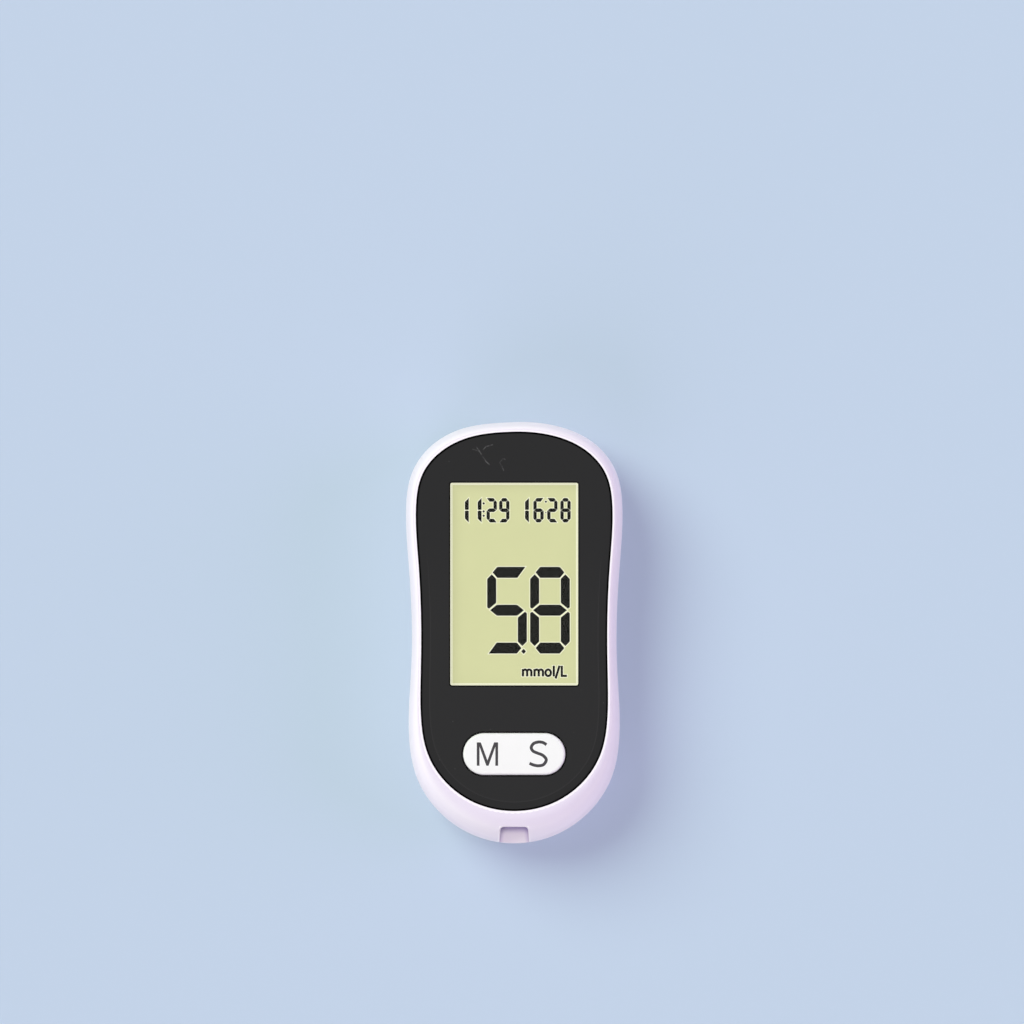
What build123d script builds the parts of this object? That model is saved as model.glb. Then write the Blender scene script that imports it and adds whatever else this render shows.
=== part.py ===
"""Handheld blood glucose meter, modelled as its separate pieces, in millimetres.

The meter lies on its back with the display facing up: +Z is up, +Y points to the end
away from the strip slot and +X to the reader's right.  The origin is the middle of the
back face.
"""
import os
from dataclasses import astuple, dataclass
from functools import partial
from math import asin, cos, pi, sin, sqrt

from build123d import *

# ---------------------------------------------------------------- case, seen from the front
CASE_LENGTH = 100.0          # whole length, top end to strip end
CASE_DOME_HALF_WIDTH = 25.7  # widest place, where the top dome begins
CASE_DOME_HEIGHT = 21.0      # from that place to the top end
CASE_DOME_POWER = 2.4        # superellipse power of the dome
CASE_WAIST_HALF_WIDTH = 24.4
CASE_WAIST_FROM_END = 42.6   # waist to strip end
CASE_LOBE_HALF_WIDTH = 24.95  # where the round strip end begins
CASE_LOBE_HEIGHT = 25.0
CASE_LOBE_POWER = 2.0

# ---------------------------------------------------------------- panel, seen from the front
PANEL_TOP_MARGIN = 2.36      # panel's edge inside the case's silhouette
PANEL_DOME_MARGIN = 2.46
PANEL_WAIST_MARGIN = 2.34
PANEL_LOBE_MARGIN = 2.9
PANEL_BOTTOM_MARGIN = 7.81
PANEL_DOME_HEIGHT = 17.64
PANEL_DOME_POWER = 2.3
PANEL_LOBE_HEIGHT = 21.89
PANEL_LOBE_POWER = 2.04
PANEL_BORDER = 2.3           # width of the sloped border
PANEL_SLOPE = 0.5            # fall of the border from the flat to the edge
PANEL_CLEARANCE = 0.05       # between the panel's edge and its recess
LIP_WIDTH = 0.4              # level rim of the case around the panel

# ---------------------------------------------------------------- heights
PARTING_Z = 9.5              # seam between the two shells
LIP_Z = 19.5                 # top of the case around the panel
PANEL_TOP_Z = 20.0
PANEL_THICKNESS = 1.65
ADHESIVE_THICKNESS = 0.15
ADHESIVE_INSET = 0.6
DECK_THICKNESS = 1.6         # floor of the panel recess
KEY_PROUD = 0.5              # how far the key stands above the panel

WALL = 1.8                   # side walls of both shells
BACK_WALL = 1.6
BACK_ROUND = 5.6             # width of the rounding towards the back face
TONGUE_HEIGHT = 1.2          # rim of the rear cover that enters the front cover
TONGUE_ROOT = 0.5            # how far that rim reaches down into the wall
TONGUE_THICKNESS = 0.8
TONGUE_CLEARANCE = 0.1
SEAM_GROOVE_DEPTH = 0.2      # line round the case where the shells meet
SEAM_GROOVE_HALF_HEIGHT = 0.15

# ---------------------------------------------------------------- display
VIEW_WIDTH = 30.3
VIEW_HEIGHT = 48.0
VIEW_TOP_MARGIN = 12.08      # from the panel's top to the visible area
VIEW_CORNER = 0.45
WINDOW_FIT = 0.04            # gap round the clear pane
WINDOW_FLANGE = 1.3          # how far the pane's flange reaches under the panel
WINDOW_FLANGE_THICKNESS = 0.6
WINDOW_FLANGE_CORNER = 1.0
WINDOW_SINK = 0.05           # the pane's face below the panel's face
WINDOW_CHAMFER = 0.25
LCD_MARGIN = 1.45            # glass beyond the visible area
LCD_LEDGE = 2.6              # longer front glass, where the contacts are
LCD_GAP = 0.25               # air between pane and front polariser
POLARISER_THICKNESS = 0.2
POLARISER_MARGIN = 0.9
POLARISER_CORNER = 0.5
GLASS_THICKNESS = 0.65
REFLECTOR_THICKNESS = 0.2
LCD_FRAME_WALL = 1.1
LCD_FRAME_FLOOR = 0.8
LCD_FRAME_CLEARANCE = 0.1
LCD_FRAME_CORNER = 0.8
DISPLAY_CUT_CLEARANCE = 0.3  # between the display frame and the opening in the deck
DISPLAY_CUT_CORNER = 1.0
ZEBRA_WIDTH = 1.8
ZEBRA_END_GAP = 1.6          # shorter than the glass by this at each end

# ---------------------------------------------------------------- key
KEY_WIDTH = 24.2
KEY_HEIGHT = 9.9
KEY_ABOVE_PANEL_BOTTOM = 13.49  # the key's centre
KEY_GAP = 0.3                # round the key, in the panel and in the deck
KEY_EDGE_ROUND = 0.6
KEY_FLANGE = 1.0             # flange beyond the cap
KEY_FLANGE_THICKNESS = 0.7
KEY_WALL = 1.1
KEY_LIFT_ROOM = 0.7          # between flange and deck
KEY_PIN_RADIUS = 0.8
KEY_PIN_LENGTH = 1.75
KEY_PIN_CLEARANCE = 0.06
KEY_PIN_ABOVE_FLANGE_BASE = 0.4
PLUNGER_RADIUS = 2.2
DOME_X = 7.0                 # centres of the two domes, left and right
BEARING_SIDE_GAP = 0.2
BEARING_THICKNESS = 1.6
BEARING_HALF_WIDTH = 1.9
BEARING_SNAP_WIDTH = 1.3     # mouth through which the pin snaps in
KEY_POCKET_MARGIN = 0.9
KEY_POCKET_DEPTH = 0.6       # into the underside of the deck
KEY_POCKET_CORNER = 1.0

# ---------------------------------------------------------------- keypad
MAT_THICKNESS = 0.4
MAT_SIDE_INSET = 0.1         # mat inside the key's flange, left and right
MAT_END_INSET = 0.45         # mat inside the key's flange, at its long sides
MAT_CORNER = 1.5
DOME_BASE_RADIUS = 4.2
DOME_TOP_RADIUS = 2.6
DOME_SKIN = 0.4
DOME_KEY_GAP = 0.05          # between dome and plunger
PILL_RADIUS = 1.5
PILL_THICKNESS = 0.2

# ---------------------------------------------------------------- circuit board
BOARD_THICKNESS = 1.0
BOARD_TOP_Z = 14.7
BOARD_SIDE_GAP = 0.8         # to the side walls at the waist
BOARD_TOP_MARGIN = 10.0      # ends of the narrow part, from the case's ends
BOARD_BOTTOM_MARGIN = 6.6
BOARD_WIDE_TOP_MARGIN = 20.5  # ends of the wide part, from the case's ends
BOARD_WIDE_BOTTOM_MARGIN = 22.0
BOARD_TONGUE_HALF_WIDTH = 14.0
BOARD_CORNER = 1.0
BOARD_TONGUE_CORNER = 5.0
BOARD_SCREW_SIDE_MARGIN = 2.0  # screws from the wide part's edges
BOARD_SCREW_TOP_MARGIN = 7.5
BOARD_SCREW_BOTTOM_MARGIN = 6.0
BOARD_SCREW_RADIUS = 0.75
BOARD_SCREW_HEAD_RADIUS = 1.6
BOARD_SCREW_HEAD = 1.2
BOARD_SCREW_LENGTH = 5.0
BOARD_POST_RADIUS = 2.0

# ---------------------------------------------------------------- case screws
TOP_SCREW_SIDE_MARGIN = 5.1  # from the dome's widest place
TOP_SCREW_END_MARGIN = 17.0
LOW_SCREW_SIDE_MARGIN = 6.95  # from the strip end's widest place
LOW_SCREW_END_MARGIN = 19.0
CASE_SCREW_RADIUS = 0.85
CASE_SCREW_HEAD_RADIUS = 1.8
CASE_SCREW_HEAD = 1.4
CASE_SCREW_LENGTH = 8.0
SCREW_SEAT_Z = 5.0           # where the head bears in its well
SCREW_SEAT_THICKNESS = 1.4
SCREW_WELL_RADIUS = 2.0
SCREW_WELL_WALL = 1.0
SCREW_PASS_CLEARANCE = 0.3
SCREW_PILOT_CLEARANCE = 0.03
SCREW_TIP_ROOM = 1.0         # past the tip, in the boss
SCREW_RECESS_SHARES = (0.2, 0.6)  # half-widths of the cross recess, in head radii
BOSS_RADIUS = 2.2
BOSS_GAP = 0.1               # between the boss and its seat

# ---------------------------------------------------------------- strip slot
NOTCH_DEPTH = 3.85           # from the strip end to the foot of the notch's back wall
NOTCH_BACK_HALF_WIDTH = 3.15
NOTCH_FRONT_HALF_WIDTH = 3.6
NOTCH_CORNER = 0.8
NOTCH_DRAFT = 2.5            # degrees
NOTCH_FLOOR_Z = 11.2
NOTCH_WALL = 1.5
SLOT_WIDTH = 6.2
SLOT_HEIGHT = 1.1
CONNECTOR_WIDTH = 12.8
CONNECTOR_LENGTH = 9.5
CONNECTOR_GAP = 0.2          # to the case
CONNECTOR_FLOOR = 0.6
CONNECTOR_SLOT_DEPTH = 8.1
CONTACT_COUNT = 5
CONTACT_PITCH = 1.1
CONTACT_WIDTH = 0.5
CONTACT_SHEET = 0.2
CONTACT_SIDE_GAP = 0.1
CONTACT_LIP = 0.8            # wall left at the mouth, in front of the channels
CONTACT_ROOF = 0.3           # wall left over the channels
CONTACT_BITE = 0.2           # how far the channels cut down into the slot
CONTACT_FOOT = 1.0           # soldered end behind the connector
CONTACT_FOOT_GAP = 0.6
CONTACT_BEAM_DROP = 0.8      # beam below the board
CONTACT_BEAM_LENGTH = 3.5
CONTACT_BUMP_LENGTH = 0.7
CONTACT_SWEEP = 2.0          # slanted part between beam and bump
CONTACT_PRESS_Z = 0.35       # bump above the slot's floor
CONTACT_TIP_GAP = 1.2        # free end behind the mouth

# ---------------------------------------------------------------- batteries (AAA)
CELL_RADIUS = 5.25
CELL_LENGTH = 44.5
CELL_SLEEVE = 0.2
CELL_SLEEVE_GAP = 0.02
CELL_NUB_RADIUS = 1.9
CELL_NUB = 0.9
CELL_SHOULDER = 0.5
CELL_CAN_WALL = 0.25
CELL_CAP_THICKNESS = 0.5
CELL_FILL_GAP = 0.02
CELL_CLEARANCE = 0.3         # to the door and to the roof
CELL_SIDE_GAP = 0.35         # from the middle of the bay
CELL_WALL_GAP = 0.55         # to the bay's side wall
SPRING_LENGTH = 4.5
SPRING_RADIUS = 3.1
SPRING_WIRE = 0.5
SPRING_TURNS = 3.0
PLATE_THICKNESS = 0.3
PLATE_MARGIN = 1.0           # a contact plate is this much smaller than its cell's room
BRIDGE_HALF_HEIGHT = 2.0
TAB_WIDTH = 2.0
TAB_CLEARANCE = 0.2
TAB_ABOVE_BOARD = 0.2
BAY_TOP_MARGIN = 11.8        # from the top end to the bay
BAY_WALL = 1.0
BAY_ROOF = 1.0

# ---------------------------------------------------------------- battery door
DOOR_SINK = 0.15             # below the back face, so the case is what rests
DOOR_THICKNESS = 1.4
DOOR_CLEARANCE = 0.2
DOOR_OVERLAP = 1.5           # door beyond the bay's inner walls
DOOR_HINGE_REACH = 3.0       # from the bay's end to the edge the door turns about
DOOR_CORNER = 1.2
DOOR_TAB_X = 8.0
DOOR_TAB_WIDTH = 5.0
DOOR_TAB_THICKNESS = 0.6
DOOR_TAB_REACH = 1.5         # past the edge of the opening
DOOR_TAB_ROOT = 1.0
DOOR_TAB_GAP = 0.1           # tabs and latch nose above the back wall
DOOR_LEDGE = 1.0
DOOR_LEDGE_THICKNESS = 0.8
LATCH_HALF_WIDTH = 5.0
LATCH_LENGTH = 4.4           # of the opening for the latch, past the bay's end
LATCH_SHEET = 0.8
LATCH_HEIGHT = 4.2
LATCH_NOSE = 0.8             # hold behind the back wall's edge
LATCH_NOSE_FLAT = 0.5
LATCH_NOSE_HEIGHT = 1.6
LATCH_POCKET_GAP = 0.5
LATCH_POCKET_WALL = 1.2
LATCH_GROOVES = 3            # grip grooves in the thumb pad
LATCH_GROOVE_DEPTH = 0.25
LATCH_GROOVE_MARGIN = 0.8

# ---------------------------------------------------------------- rear label
LABEL_WIDTH = 24.0
LABEL_HEIGHT = 16.0
LABEL_END_MARGIN = 19.0      # its centre, from the strip end
LABEL_CORNER = 1.5
LABEL_THICKNESS = 0.15
LABEL_SINK = 0.2
LABEL_CLEARANCE = 0.1        # inside its recess

# ---------------------------------------------------------------- parts on the board
CHIP_STANDOFF = 0.1
LEAD_THICKNESS = 0.15
LEAD_LENGTH = 1.0
CONTROLLER_SIZE = 9.0
CONTROLLER_THICKNESS = 1.4
CONTROLLER_X = -6.0
CONTROLLER_FROM_CONNECTOR = 8.95
CONTROLLER_LEADS = 11        # along each side
SMALL_CHIP_WIDTH = 4.0
SMALL_CHIP_LENGTH = 5.0
SMALL_CHIP_THICKNESS = 1.3
SMALL_CHIP_LEADS = 4
ANALOGUE_CHIP_X = 7.5
ANALOGUE_CHIP_FROM_CONNECTOR = 5.45
MEMORY_CHIP_X = 8.5
MEMORY_CHIP_FROM_CONNECTOR = 13.95
CRYSTAL_RADIUS = 1.0
CRYSTAL_LENGTH = 6.0
CRYSTAL_BAY_GAP = 2.6        # between the can and the battery bay
CRYSTAL_TOP_Y = -3.0
CRYSTAL_LEAD_LENGTH = 2.0
CRYSTAL_LEAD_SPACING = 0.8
CRYSTAL_LEAD = 0.3           # square section
BUZZER_RADIUS = 4.0
BUZZER_HEIGHT = 2.4
BUZZER_BAY_GAP = 0.9
BUZZER_Y = 0.0
BUZZER_ROUND = 0.4
BUZZER_HOLE_RADIUS = 0.7
BUZZER_HOLE_DEPTH = 1.0
THERMISTOR_X = 9.0
THERMISTOR_FROM_CONNECTOR = -3.0
THERMISTOR_RADIUS = 0.9
THERMISTOR_HEIGHT = 1.3
THERMISTOR_STANDOFF = 0.4
THERMISTOR_LEAD = 0.3        # square section
SMALL_PART_LENGTH = 1.6
SMALL_PART_WIDTH = 0.8
SMALL_PART_HEIGHT = 0.6
SMALL_PART_PITCH = 3.0

EPS = 0.01                   # how far a cutting tool starts outside a face
CUT = 1.0                    # how far a cutting tool runs past what it opens

# ---------------------------------------------------------------- derived places
TOP_END_Y = CASE_LENGTH / 2
STRIP_END_Y = -CASE_LENGTH / 2
WAIST_Y = STRIP_END_Y + CASE_WAIST_FROM_END
PANEL_TOP_Y = TOP_END_Y - PANEL_TOP_MARGIN
PANEL_BOTTOM_Y = STRIP_END_Y + PANEL_BOTTOM_MARGIN
PANEL_BOTTOM_Z = PANEL_TOP_Z - PANEL_THICKNESS
DECK_TOP_Z = PANEL_BOTTOM_Z - ADHESIVE_THICKNESS
DECK_UNDER_Z = DECK_TOP_Z - DECK_THICKNESS

VIEW_TOP_Y = PANEL_TOP_Y - VIEW_TOP_MARGIN
VIEW_BOTTOM_Y = VIEW_TOP_Y - VIEW_HEIGHT
GLASS_HALF_WIDTH = VIEW_WIDTH / 2 + LCD_MARGIN
GLASS_TOP_Y = VIEW_TOP_Y + LCD_MARGIN
REAR_GLASS_BOTTOM_Y = VIEW_BOTTOM_Y - LCD_MARGIN
FRONT_GLASS_BOTTOM_Y = REAR_GLASS_BOTTOM_Y - LCD_LEDGE
POLARISER_TOP_Z = PANEL_BOTTOM_Z - LCD_GAP
FRONT_GLASS_TOP_Z = POLARISER_TOP_Z - POLARISER_THICKNESS
REAR_GLASS_TOP_Z = FRONT_GLASS_TOP_Z - GLASS_THICKNESS
REFLECTOR_TOP_Z = REAR_GLASS_TOP_Z - GLASS_THICKNESS
LCD_SEAT_Z = REFLECTOR_TOP_Z - REFLECTOR_THICKNESS
FRAME_HALF_WIDTH = GLASS_HALF_WIDTH + LCD_FRAME_CLEARANCE + LCD_FRAME_WALL
FRAME_TOP_Y = GLASS_TOP_Y + LCD_FRAME_CLEARANCE + LCD_FRAME_WALL
FRAME_BOTTOM_Y = FRONT_GLASS_BOTTOM_Y - LCD_FRAME_CLEARANCE - LCD_FRAME_WALL

KEY_Y = PANEL_BOTTOM_Y + KEY_ABOVE_PANEL_BOTTOM
KEY_POCKET_Z = DECK_UNDER_Z + KEY_POCKET_DEPTH
FLANGE_TOP_Z = KEY_POCKET_Z - KEY_LIFT_ROOM
FLANGE_BASE_Z = FLANGE_TOP_Z - KEY_FLANGE_THICKNESS
KEY_PIVOT_Z = FLANGE_BASE_Z + KEY_PIN_ABOVE_FLANGE_BASE
KEY_TOP_Z = PANEL_TOP_Z + KEY_PROUD
FLANGE_HALF_WIDTH = KEY_WIDTH / 2 + KEY_FLANGE
FLANGE_HALF_HEIGHT = KEY_HEIGHT / 2 + KEY_FLANGE
DOME_TOP_Z = FLANGE_BASE_Z - DOME_KEY_GAP

BOARD_UNDER_Z = BOARD_TOP_Z - BOARD_THICKNESS
BOARD_HALF_WIDTH = CASE_WAIST_HALF_WIDTH - WALL - BOARD_SIDE_GAP
BOARD_TOP_Y = TOP_END_Y - BOARD_TOP_MARGIN
BOARD_BOTTOM_Y = STRIP_END_Y + BOARD_BOTTOM_MARGIN
BOARD_WIDE_TOP_Y = TOP_END_Y - BOARD_WIDE_TOP_MARGIN
BOARD_WIDE_BOTTOM_Y = STRIP_END_Y + BOARD_WIDE_BOTTOM_MARGIN
BOARD_SCREW_X = BOARD_HALF_WIDTH - BOARD_SCREW_SIDE_MARGIN
BOARD_SCREWS = [(x, y) for x in (-BOARD_SCREW_X, BOARD_SCREW_X)
                for y in (BOARD_WIDE_BOTTOM_Y + BOARD_SCREW_BOTTOM_MARGIN,
                          BOARD_WIDE_TOP_Y - BOARD_SCREW_TOP_MARGIN)]

CELL_X = CELL_RADIUS + CELL_SIDE_GAP
CELL_CAN_RADIUS = CELL_RADIUS - CELL_SLEEVE - CELL_SLEEVE_GAP
CELL_FILL_RADIUS = CELL_CAN_RADIUS - CELL_CAN_WALL - CELL_FILL_GAP
BAY_HALF_WIDTH = CELL_X + CELL_RADIUS + CELL_WALL_GAP
BAY_OUTER_HALF_WIDTH = BAY_HALF_WIDTH + BAY_WALL
BAY_TOP = TOP_END_Y - BAY_TOP_MARGIN
BAY_BOTTOM = BAY_TOP - CELL_LENGTH - SPRING_LENGTH - 2 * PLATE_THICKNESS
DOOR_INNER_Z = DOOR_SINK + DOOR_THICKNESS
CELL_Z = DOOR_INNER_Z + CELL_CLEARANCE + CELL_RADIUS
BAY_CEILING_Z = CELL_Z + CELL_RADIUS + CELL_CLEARANCE
BAY_ROOF_Z = BAY_CEILING_Z + BAY_ROOF

DOOR_AXIS_Y = BAY_TOP + DOOR_HINGE_REACH
DOOR_TAB_BASE_Z = BACK_WALL + DOOR_TAB_GAP
OPENING_HALF_WIDTH = BAY_HALF_WIDTH + DOOR_OVERLAP
OPENING_BOTTOM_Y = BAY_BOTTOM - DOOR_OVERLAP
LATCH_EDGE_Y = OPENING_BOTTOM_Y - LATCH_LENGTH
LATCH_OPENING_HALF_WIDTH = LATCH_HALF_WIDTH + DOOR_CLEARANCE
LATCH_POCKET_END_Y = LATCH_EDGE_Y - LATCH_NOSE - LATCH_POCKET_GAP
LATCH_POCKET_TOP_Z = DOOR_INNER_Z + LATCH_HEIGHT + LATCH_POCKET_GAP
LABEL_Y = STRIP_END_Y + LABEL_END_MARGIN

NOTCH_BACK_Y = STRIP_END_Y + NOTCH_DEPTH
CONNECTOR_MOUTH_Y = NOTCH_BACK_Y + NOTCH_WALL + CONNECTOR_GAP
CONNECTOR_END_Y = CONNECTOR_MOUTH_Y + CONNECTOR_LENGTH
SLOT_TOP_Z = NOTCH_FLOOR_Z + SLOT_HEIGHT
CONTACT_XS = [(i - (CONTACT_COUNT - 1) / 2) * CONTACT_PITCH for i in range(CONTACT_COUNT)]

SCREW_HOLE_TOP_Z = SCREW_SEAT_Z + CASE_SCREW_LENGTH + SCREW_TIP_ROOM
BOSS_BOTTOM_Z = SCREW_SEAT_Z + SCREW_SEAT_THICKNESS + BOSS_GAP
TOP_SCREW_X = CASE_DOME_HALF_WIDTH - TOP_SCREW_SIDE_MARGIN
LOW_SCREW_X = CASE_LOBE_HALF_WIDTH - LOW_SCREW_SIDE_MARGIN
CASE_SCREWS = [(side * x, y) for x, y in ((TOP_SCREW_X, TOP_END_Y - TOP_SCREW_END_MARGIN),
                                          (LOW_SCREW_X, STRIP_END_Y + LOW_SCREW_END_MARGIN))
               for side in (-1, 1)]


# ---------------------------------------------------------------- outlines
@dataclass
class Outline:
    """A meter-shaped closed curve: superellipse dome, waisted flanks, round strip end."""
    top: float
    dome_half_width: float
    dome_start: float
    dome_power: float
    waist_half_width: float
    waist_y: float
    lobe_half_width: float
    lobe_start: float
    lobe_power: float
    bottom: float

    FLANK_SHARES = (0.55, 0.38)  # the flank's middle point, in X and Y from dome to waist
    QUARTER_STEPS = (0.25, 0.5, 0.75)

    def inset(self, distance):
        """The same outline drawn inwards by a distance."""
        return Outline(self.top - distance, self.dome_half_width - distance,
                       self.dome_start, self.dome_power,
                       self.waist_half_width - distance, self.waist_y,
                       self.lobe_half_width - distance, self.lobe_start,
                       self.lobe_power, self.bottom + distance)

    def towards(self, other, share):
        """The outline that lies a share of the way to another one."""
        return Outline(*(a + share * (b - a) for a, b in zip(astuple(self), astuple(other))))

    def right_half(self):
        """Points from the top to the bottom along the right side."""
        dome = [self.quarter(share, self.dome_half_width, self.top - self.dome_start,
                             self.dome_power) for share in (*reversed(self.QUARTER_STEPS), 0.0)]
        lobe = [self.quarter(share, self.lobe_half_width, self.bottom - self.lobe_start,
                             self.lobe_power) for share in (0.0, *self.QUARTER_STEPS)]
        towards_waist_x, towards_waist_y = self.FLANK_SHARES
        middle_x = (self.dome_half_width
                    + towards_waist_x * (self.waist_half_width - self.dome_half_width))
        middle_y = self.dome_start + towards_waist_y * (self.waist_y - self.dome_start)
        return ([(0, self.top)] + [(x, self.dome_start + y) for x, y in dome]
                + [(middle_x, middle_y), (self.waist_half_width, self.waist_y)]
                + [(x, self.lobe_start + y) for x, y in lobe] + [(0, self.bottom)])

    @staticmethod
    def quarter(share, half_width, height, power):
        """Point of a superellipse quarter, from its side (0) to its crown (1)."""
        angle = share * pi / 2
        return (half_width * cos(angle) ** (2 / power), height * sin(angle) ** (2 / power))

    def face(self, z):
        right = self.right_half()
        left = [(-x, y) for x, y in reversed(right[1:-1])]
        return make_face(Spline(*((x, y, z) for x, y in right + left), periodic=True).edges())


CASE = Outline(TOP_END_Y, CASE_DOME_HALF_WIDTH, TOP_END_Y - CASE_DOME_HEIGHT,
               CASE_DOME_POWER, CASE_WAIST_HALF_WIDTH, WAIST_Y, CASE_LOBE_HALF_WIDTH,
               STRIP_END_Y + CASE_LOBE_HEIGHT, CASE_LOBE_POWER, STRIP_END_Y)
PANEL = Outline(PANEL_TOP_Y, CASE_DOME_HALF_WIDTH - PANEL_DOME_MARGIN,
                PANEL_TOP_Y - PANEL_DOME_HEIGHT, PANEL_DOME_POWER,
                CASE_WAIST_HALF_WIDTH - PANEL_WAIST_MARGIN, WAIST_Y,
                CASE_LOBE_HALF_WIDTH - PANEL_LOBE_MARGIN,
                PANEL_BOTTOM_Y + PANEL_LOBE_HEIGHT, PANEL_LOBE_POWER, PANEL_BOTTOM_Y)


def case_outline(z, inset=0.0):
    """Outline of the case at a height: a quarter ellipse up to the lip, one down to the back."""
    if z >= PARTING_Z:
        rise = min((z - PARTING_Z) / (LIP_Z - PARTING_Z), 1.0)
        return CASE.towards(PANEL.inset(-LIP_WIDTH), 1 - sqrt(1 - rise ** 2)).inset(inset)
    fall = min((PARTING_Z - z) / PARTING_Z, 1.0)
    return CASE.inset(BACK_ROUND * (1 - sqrt(1 - fall ** 2)) + inset)


def shell_body(z_from, z_to, inset=0.0, steps=6):
    """Solid inside the case's surface between two heights, closer together near the rounding's end."""
    reach = LIP_Z - PARTING_Z if z_to > PARTING_Z else PARTING_Z
    first, last = (asin(abs(z - PARTING_Z) / reach) for z in (z_from, z_to))
    side = 1 if z_to > PARTING_Z else -1
    angles = [first + (last - first) * i / steps for i in range(steps + 1)]
    levels = [PARTING_Z + side * reach * sin(angle) for angle in angles]
    levels[0], levels[-1] = z_from, z_to
    return loft([case_outline(z, inset).face(z) for z in levels])


def slab(outline, z_from, z_to):
    """Straight-sided solid with a meter-shaped outline."""
    return extrude(outline.face(z_from), z_to - z_from, dir=(0, 0, 1))


def block(x_from, x_to, y_from, y_to, z_from, z_to):
    """Rectangular solid between two corners."""
    return Pos((x_from + x_to) / 2, (y_from + y_to) / 2, (z_from + z_to) / 2) * Box(
        x_to - x_from, y_to - y_from, z_to - z_from)


def rounded_block(half_width, y_from, y_to, corner, z_from, z_to):
    """Flat block, centred on X, with rounded corners seen from above."""
    sketch = Pos(0, (y_from + y_to) / 2, z_from) * RectangleRounded(
        2 * half_width, y_to - y_from, corner)
    return extrude(sketch, z_to - z_from)


def pill(grow, z_from, z_to):
    """Solid with the key's stadium outline, grown all round."""
    straight = KEY_WIDTH - KEY_HEIGHT
    sketch = Pos(0, KEY_Y, z_from) * SlotCenterToCenter(straight, KEY_HEIGHT + 2 * grow)
    return extrude(sketch, z_to - z_from)


def peg(x, y, radius, z_from, z_to):
    """Upright cylinder."""
    return Pos(x, y, (z_from + z_to) / 2) * Cylinder(radius, z_to - z_from)


def side_profile(points, x_from, x_to):
    """Polygon given in (y, z), extruded along X."""
    face = make_face(Polyline(*((x_from, y, z) for y, z in points), close=True).edges())
    return extrude(face, x_to - x_from, dir=(1, 0, 0))


def total(pieces):
    """Union of a list of solids."""
    pieces = list(pieces)
    return pieces[0] + pieces[1:] if len(pieces) > 1 else pieces[0]


# ---------------------------------------------------------------- shells
def seam_groove():
    """Tool for the line round the case at the seam, half of it in each shell."""
    low, high = PARTING_Z - SEAM_GROOVE_HALF_HEIGHT, PARTING_Z + SEAM_GROOVE_HALF_HEIGHT
    return slab(CASE.inset(-CUT), low, high) - slab(CASE.inset(SEAM_GROOVE_DEPTH), low, high)


def display_opening(clearance, z_from, z_to):
    """Opening for the display frame."""
    return rounded_block(FRAME_HALF_WIDTH + clearance, FRAME_BOTTOM_Y - clearance,
                         FRAME_TOP_Y + clearance, DISPLAY_CUT_CORNER, z_from, z_to)


def strip_notch():
    """Tool for the recess in front of the slot: it widens outwards and upwards."""
    front_y = STRIP_END_Y - CUT
    plan = Polyline((-NOTCH_BACK_HALF_WIDTH, NOTCH_BACK_Y), (NOTCH_BACK_HALF_WIDTH, NOTCH_BACK_Y),
                    (NOTCH_FRONT_HALF_WIDTH, front_y), (-NOTCH_FRONT_HALF_WIDTH, front_y),
                    close=True)
    face = make_face(plan.edges())
    back_corners = face.vertices().sort_by(Axis.Y)[-2:]
    face = fillet(back_corners, NOTCH_CORNER)
    return Pos(0, 0, NOTCH_FLOOR_Z) * extrude(face, LIP_Z + CUT - NOTCH_FLOOR_Z,
                                              taper=-NOTCH_DRAFT)


def key_bearings():
    """Two blocks under the deck whose round seats hold the key's pins, open below to snap in."""
    blocks, seats = [], []
    for side in (-1, 1):
        near = KEY_Y + side * (FLANGE_HALF_HEIGHT + BEARING_SIDE_GAP)
        far = near + side * BEARING_THICKNESS
        low, high = sorted((near, far))
        blocks.append(block(-BEARING_HALF_WIDTH, BEARING_HALF_WIDTH, low, high,
                            KEY_PIVOT_Z - KEY_PIN_RADIUS, DECK_TOP_Z - EPS))
        seat = Pos(0, (low + high) / 2, KEY_PIVOT_Z) * Rot(90, 0, 0) * Cylinder(
            KEY_PIN_RADIUS + KEY_PIN_CLEARANCE, BEARING_THICKNESS + 2 * EPS)
        mouth = block(-BEARING_SNAP_WIDTH / 2, BEARING_SNAP_WIDTH / 2, low - EPS, high + EPS,
                      KEY_PIVOT_Z - 2 * KEY_PIN_RADIUS, KEY_PIVOT_Z)
        seats.append(seat + mouth)
    return total(blocks), total(seats)


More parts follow.
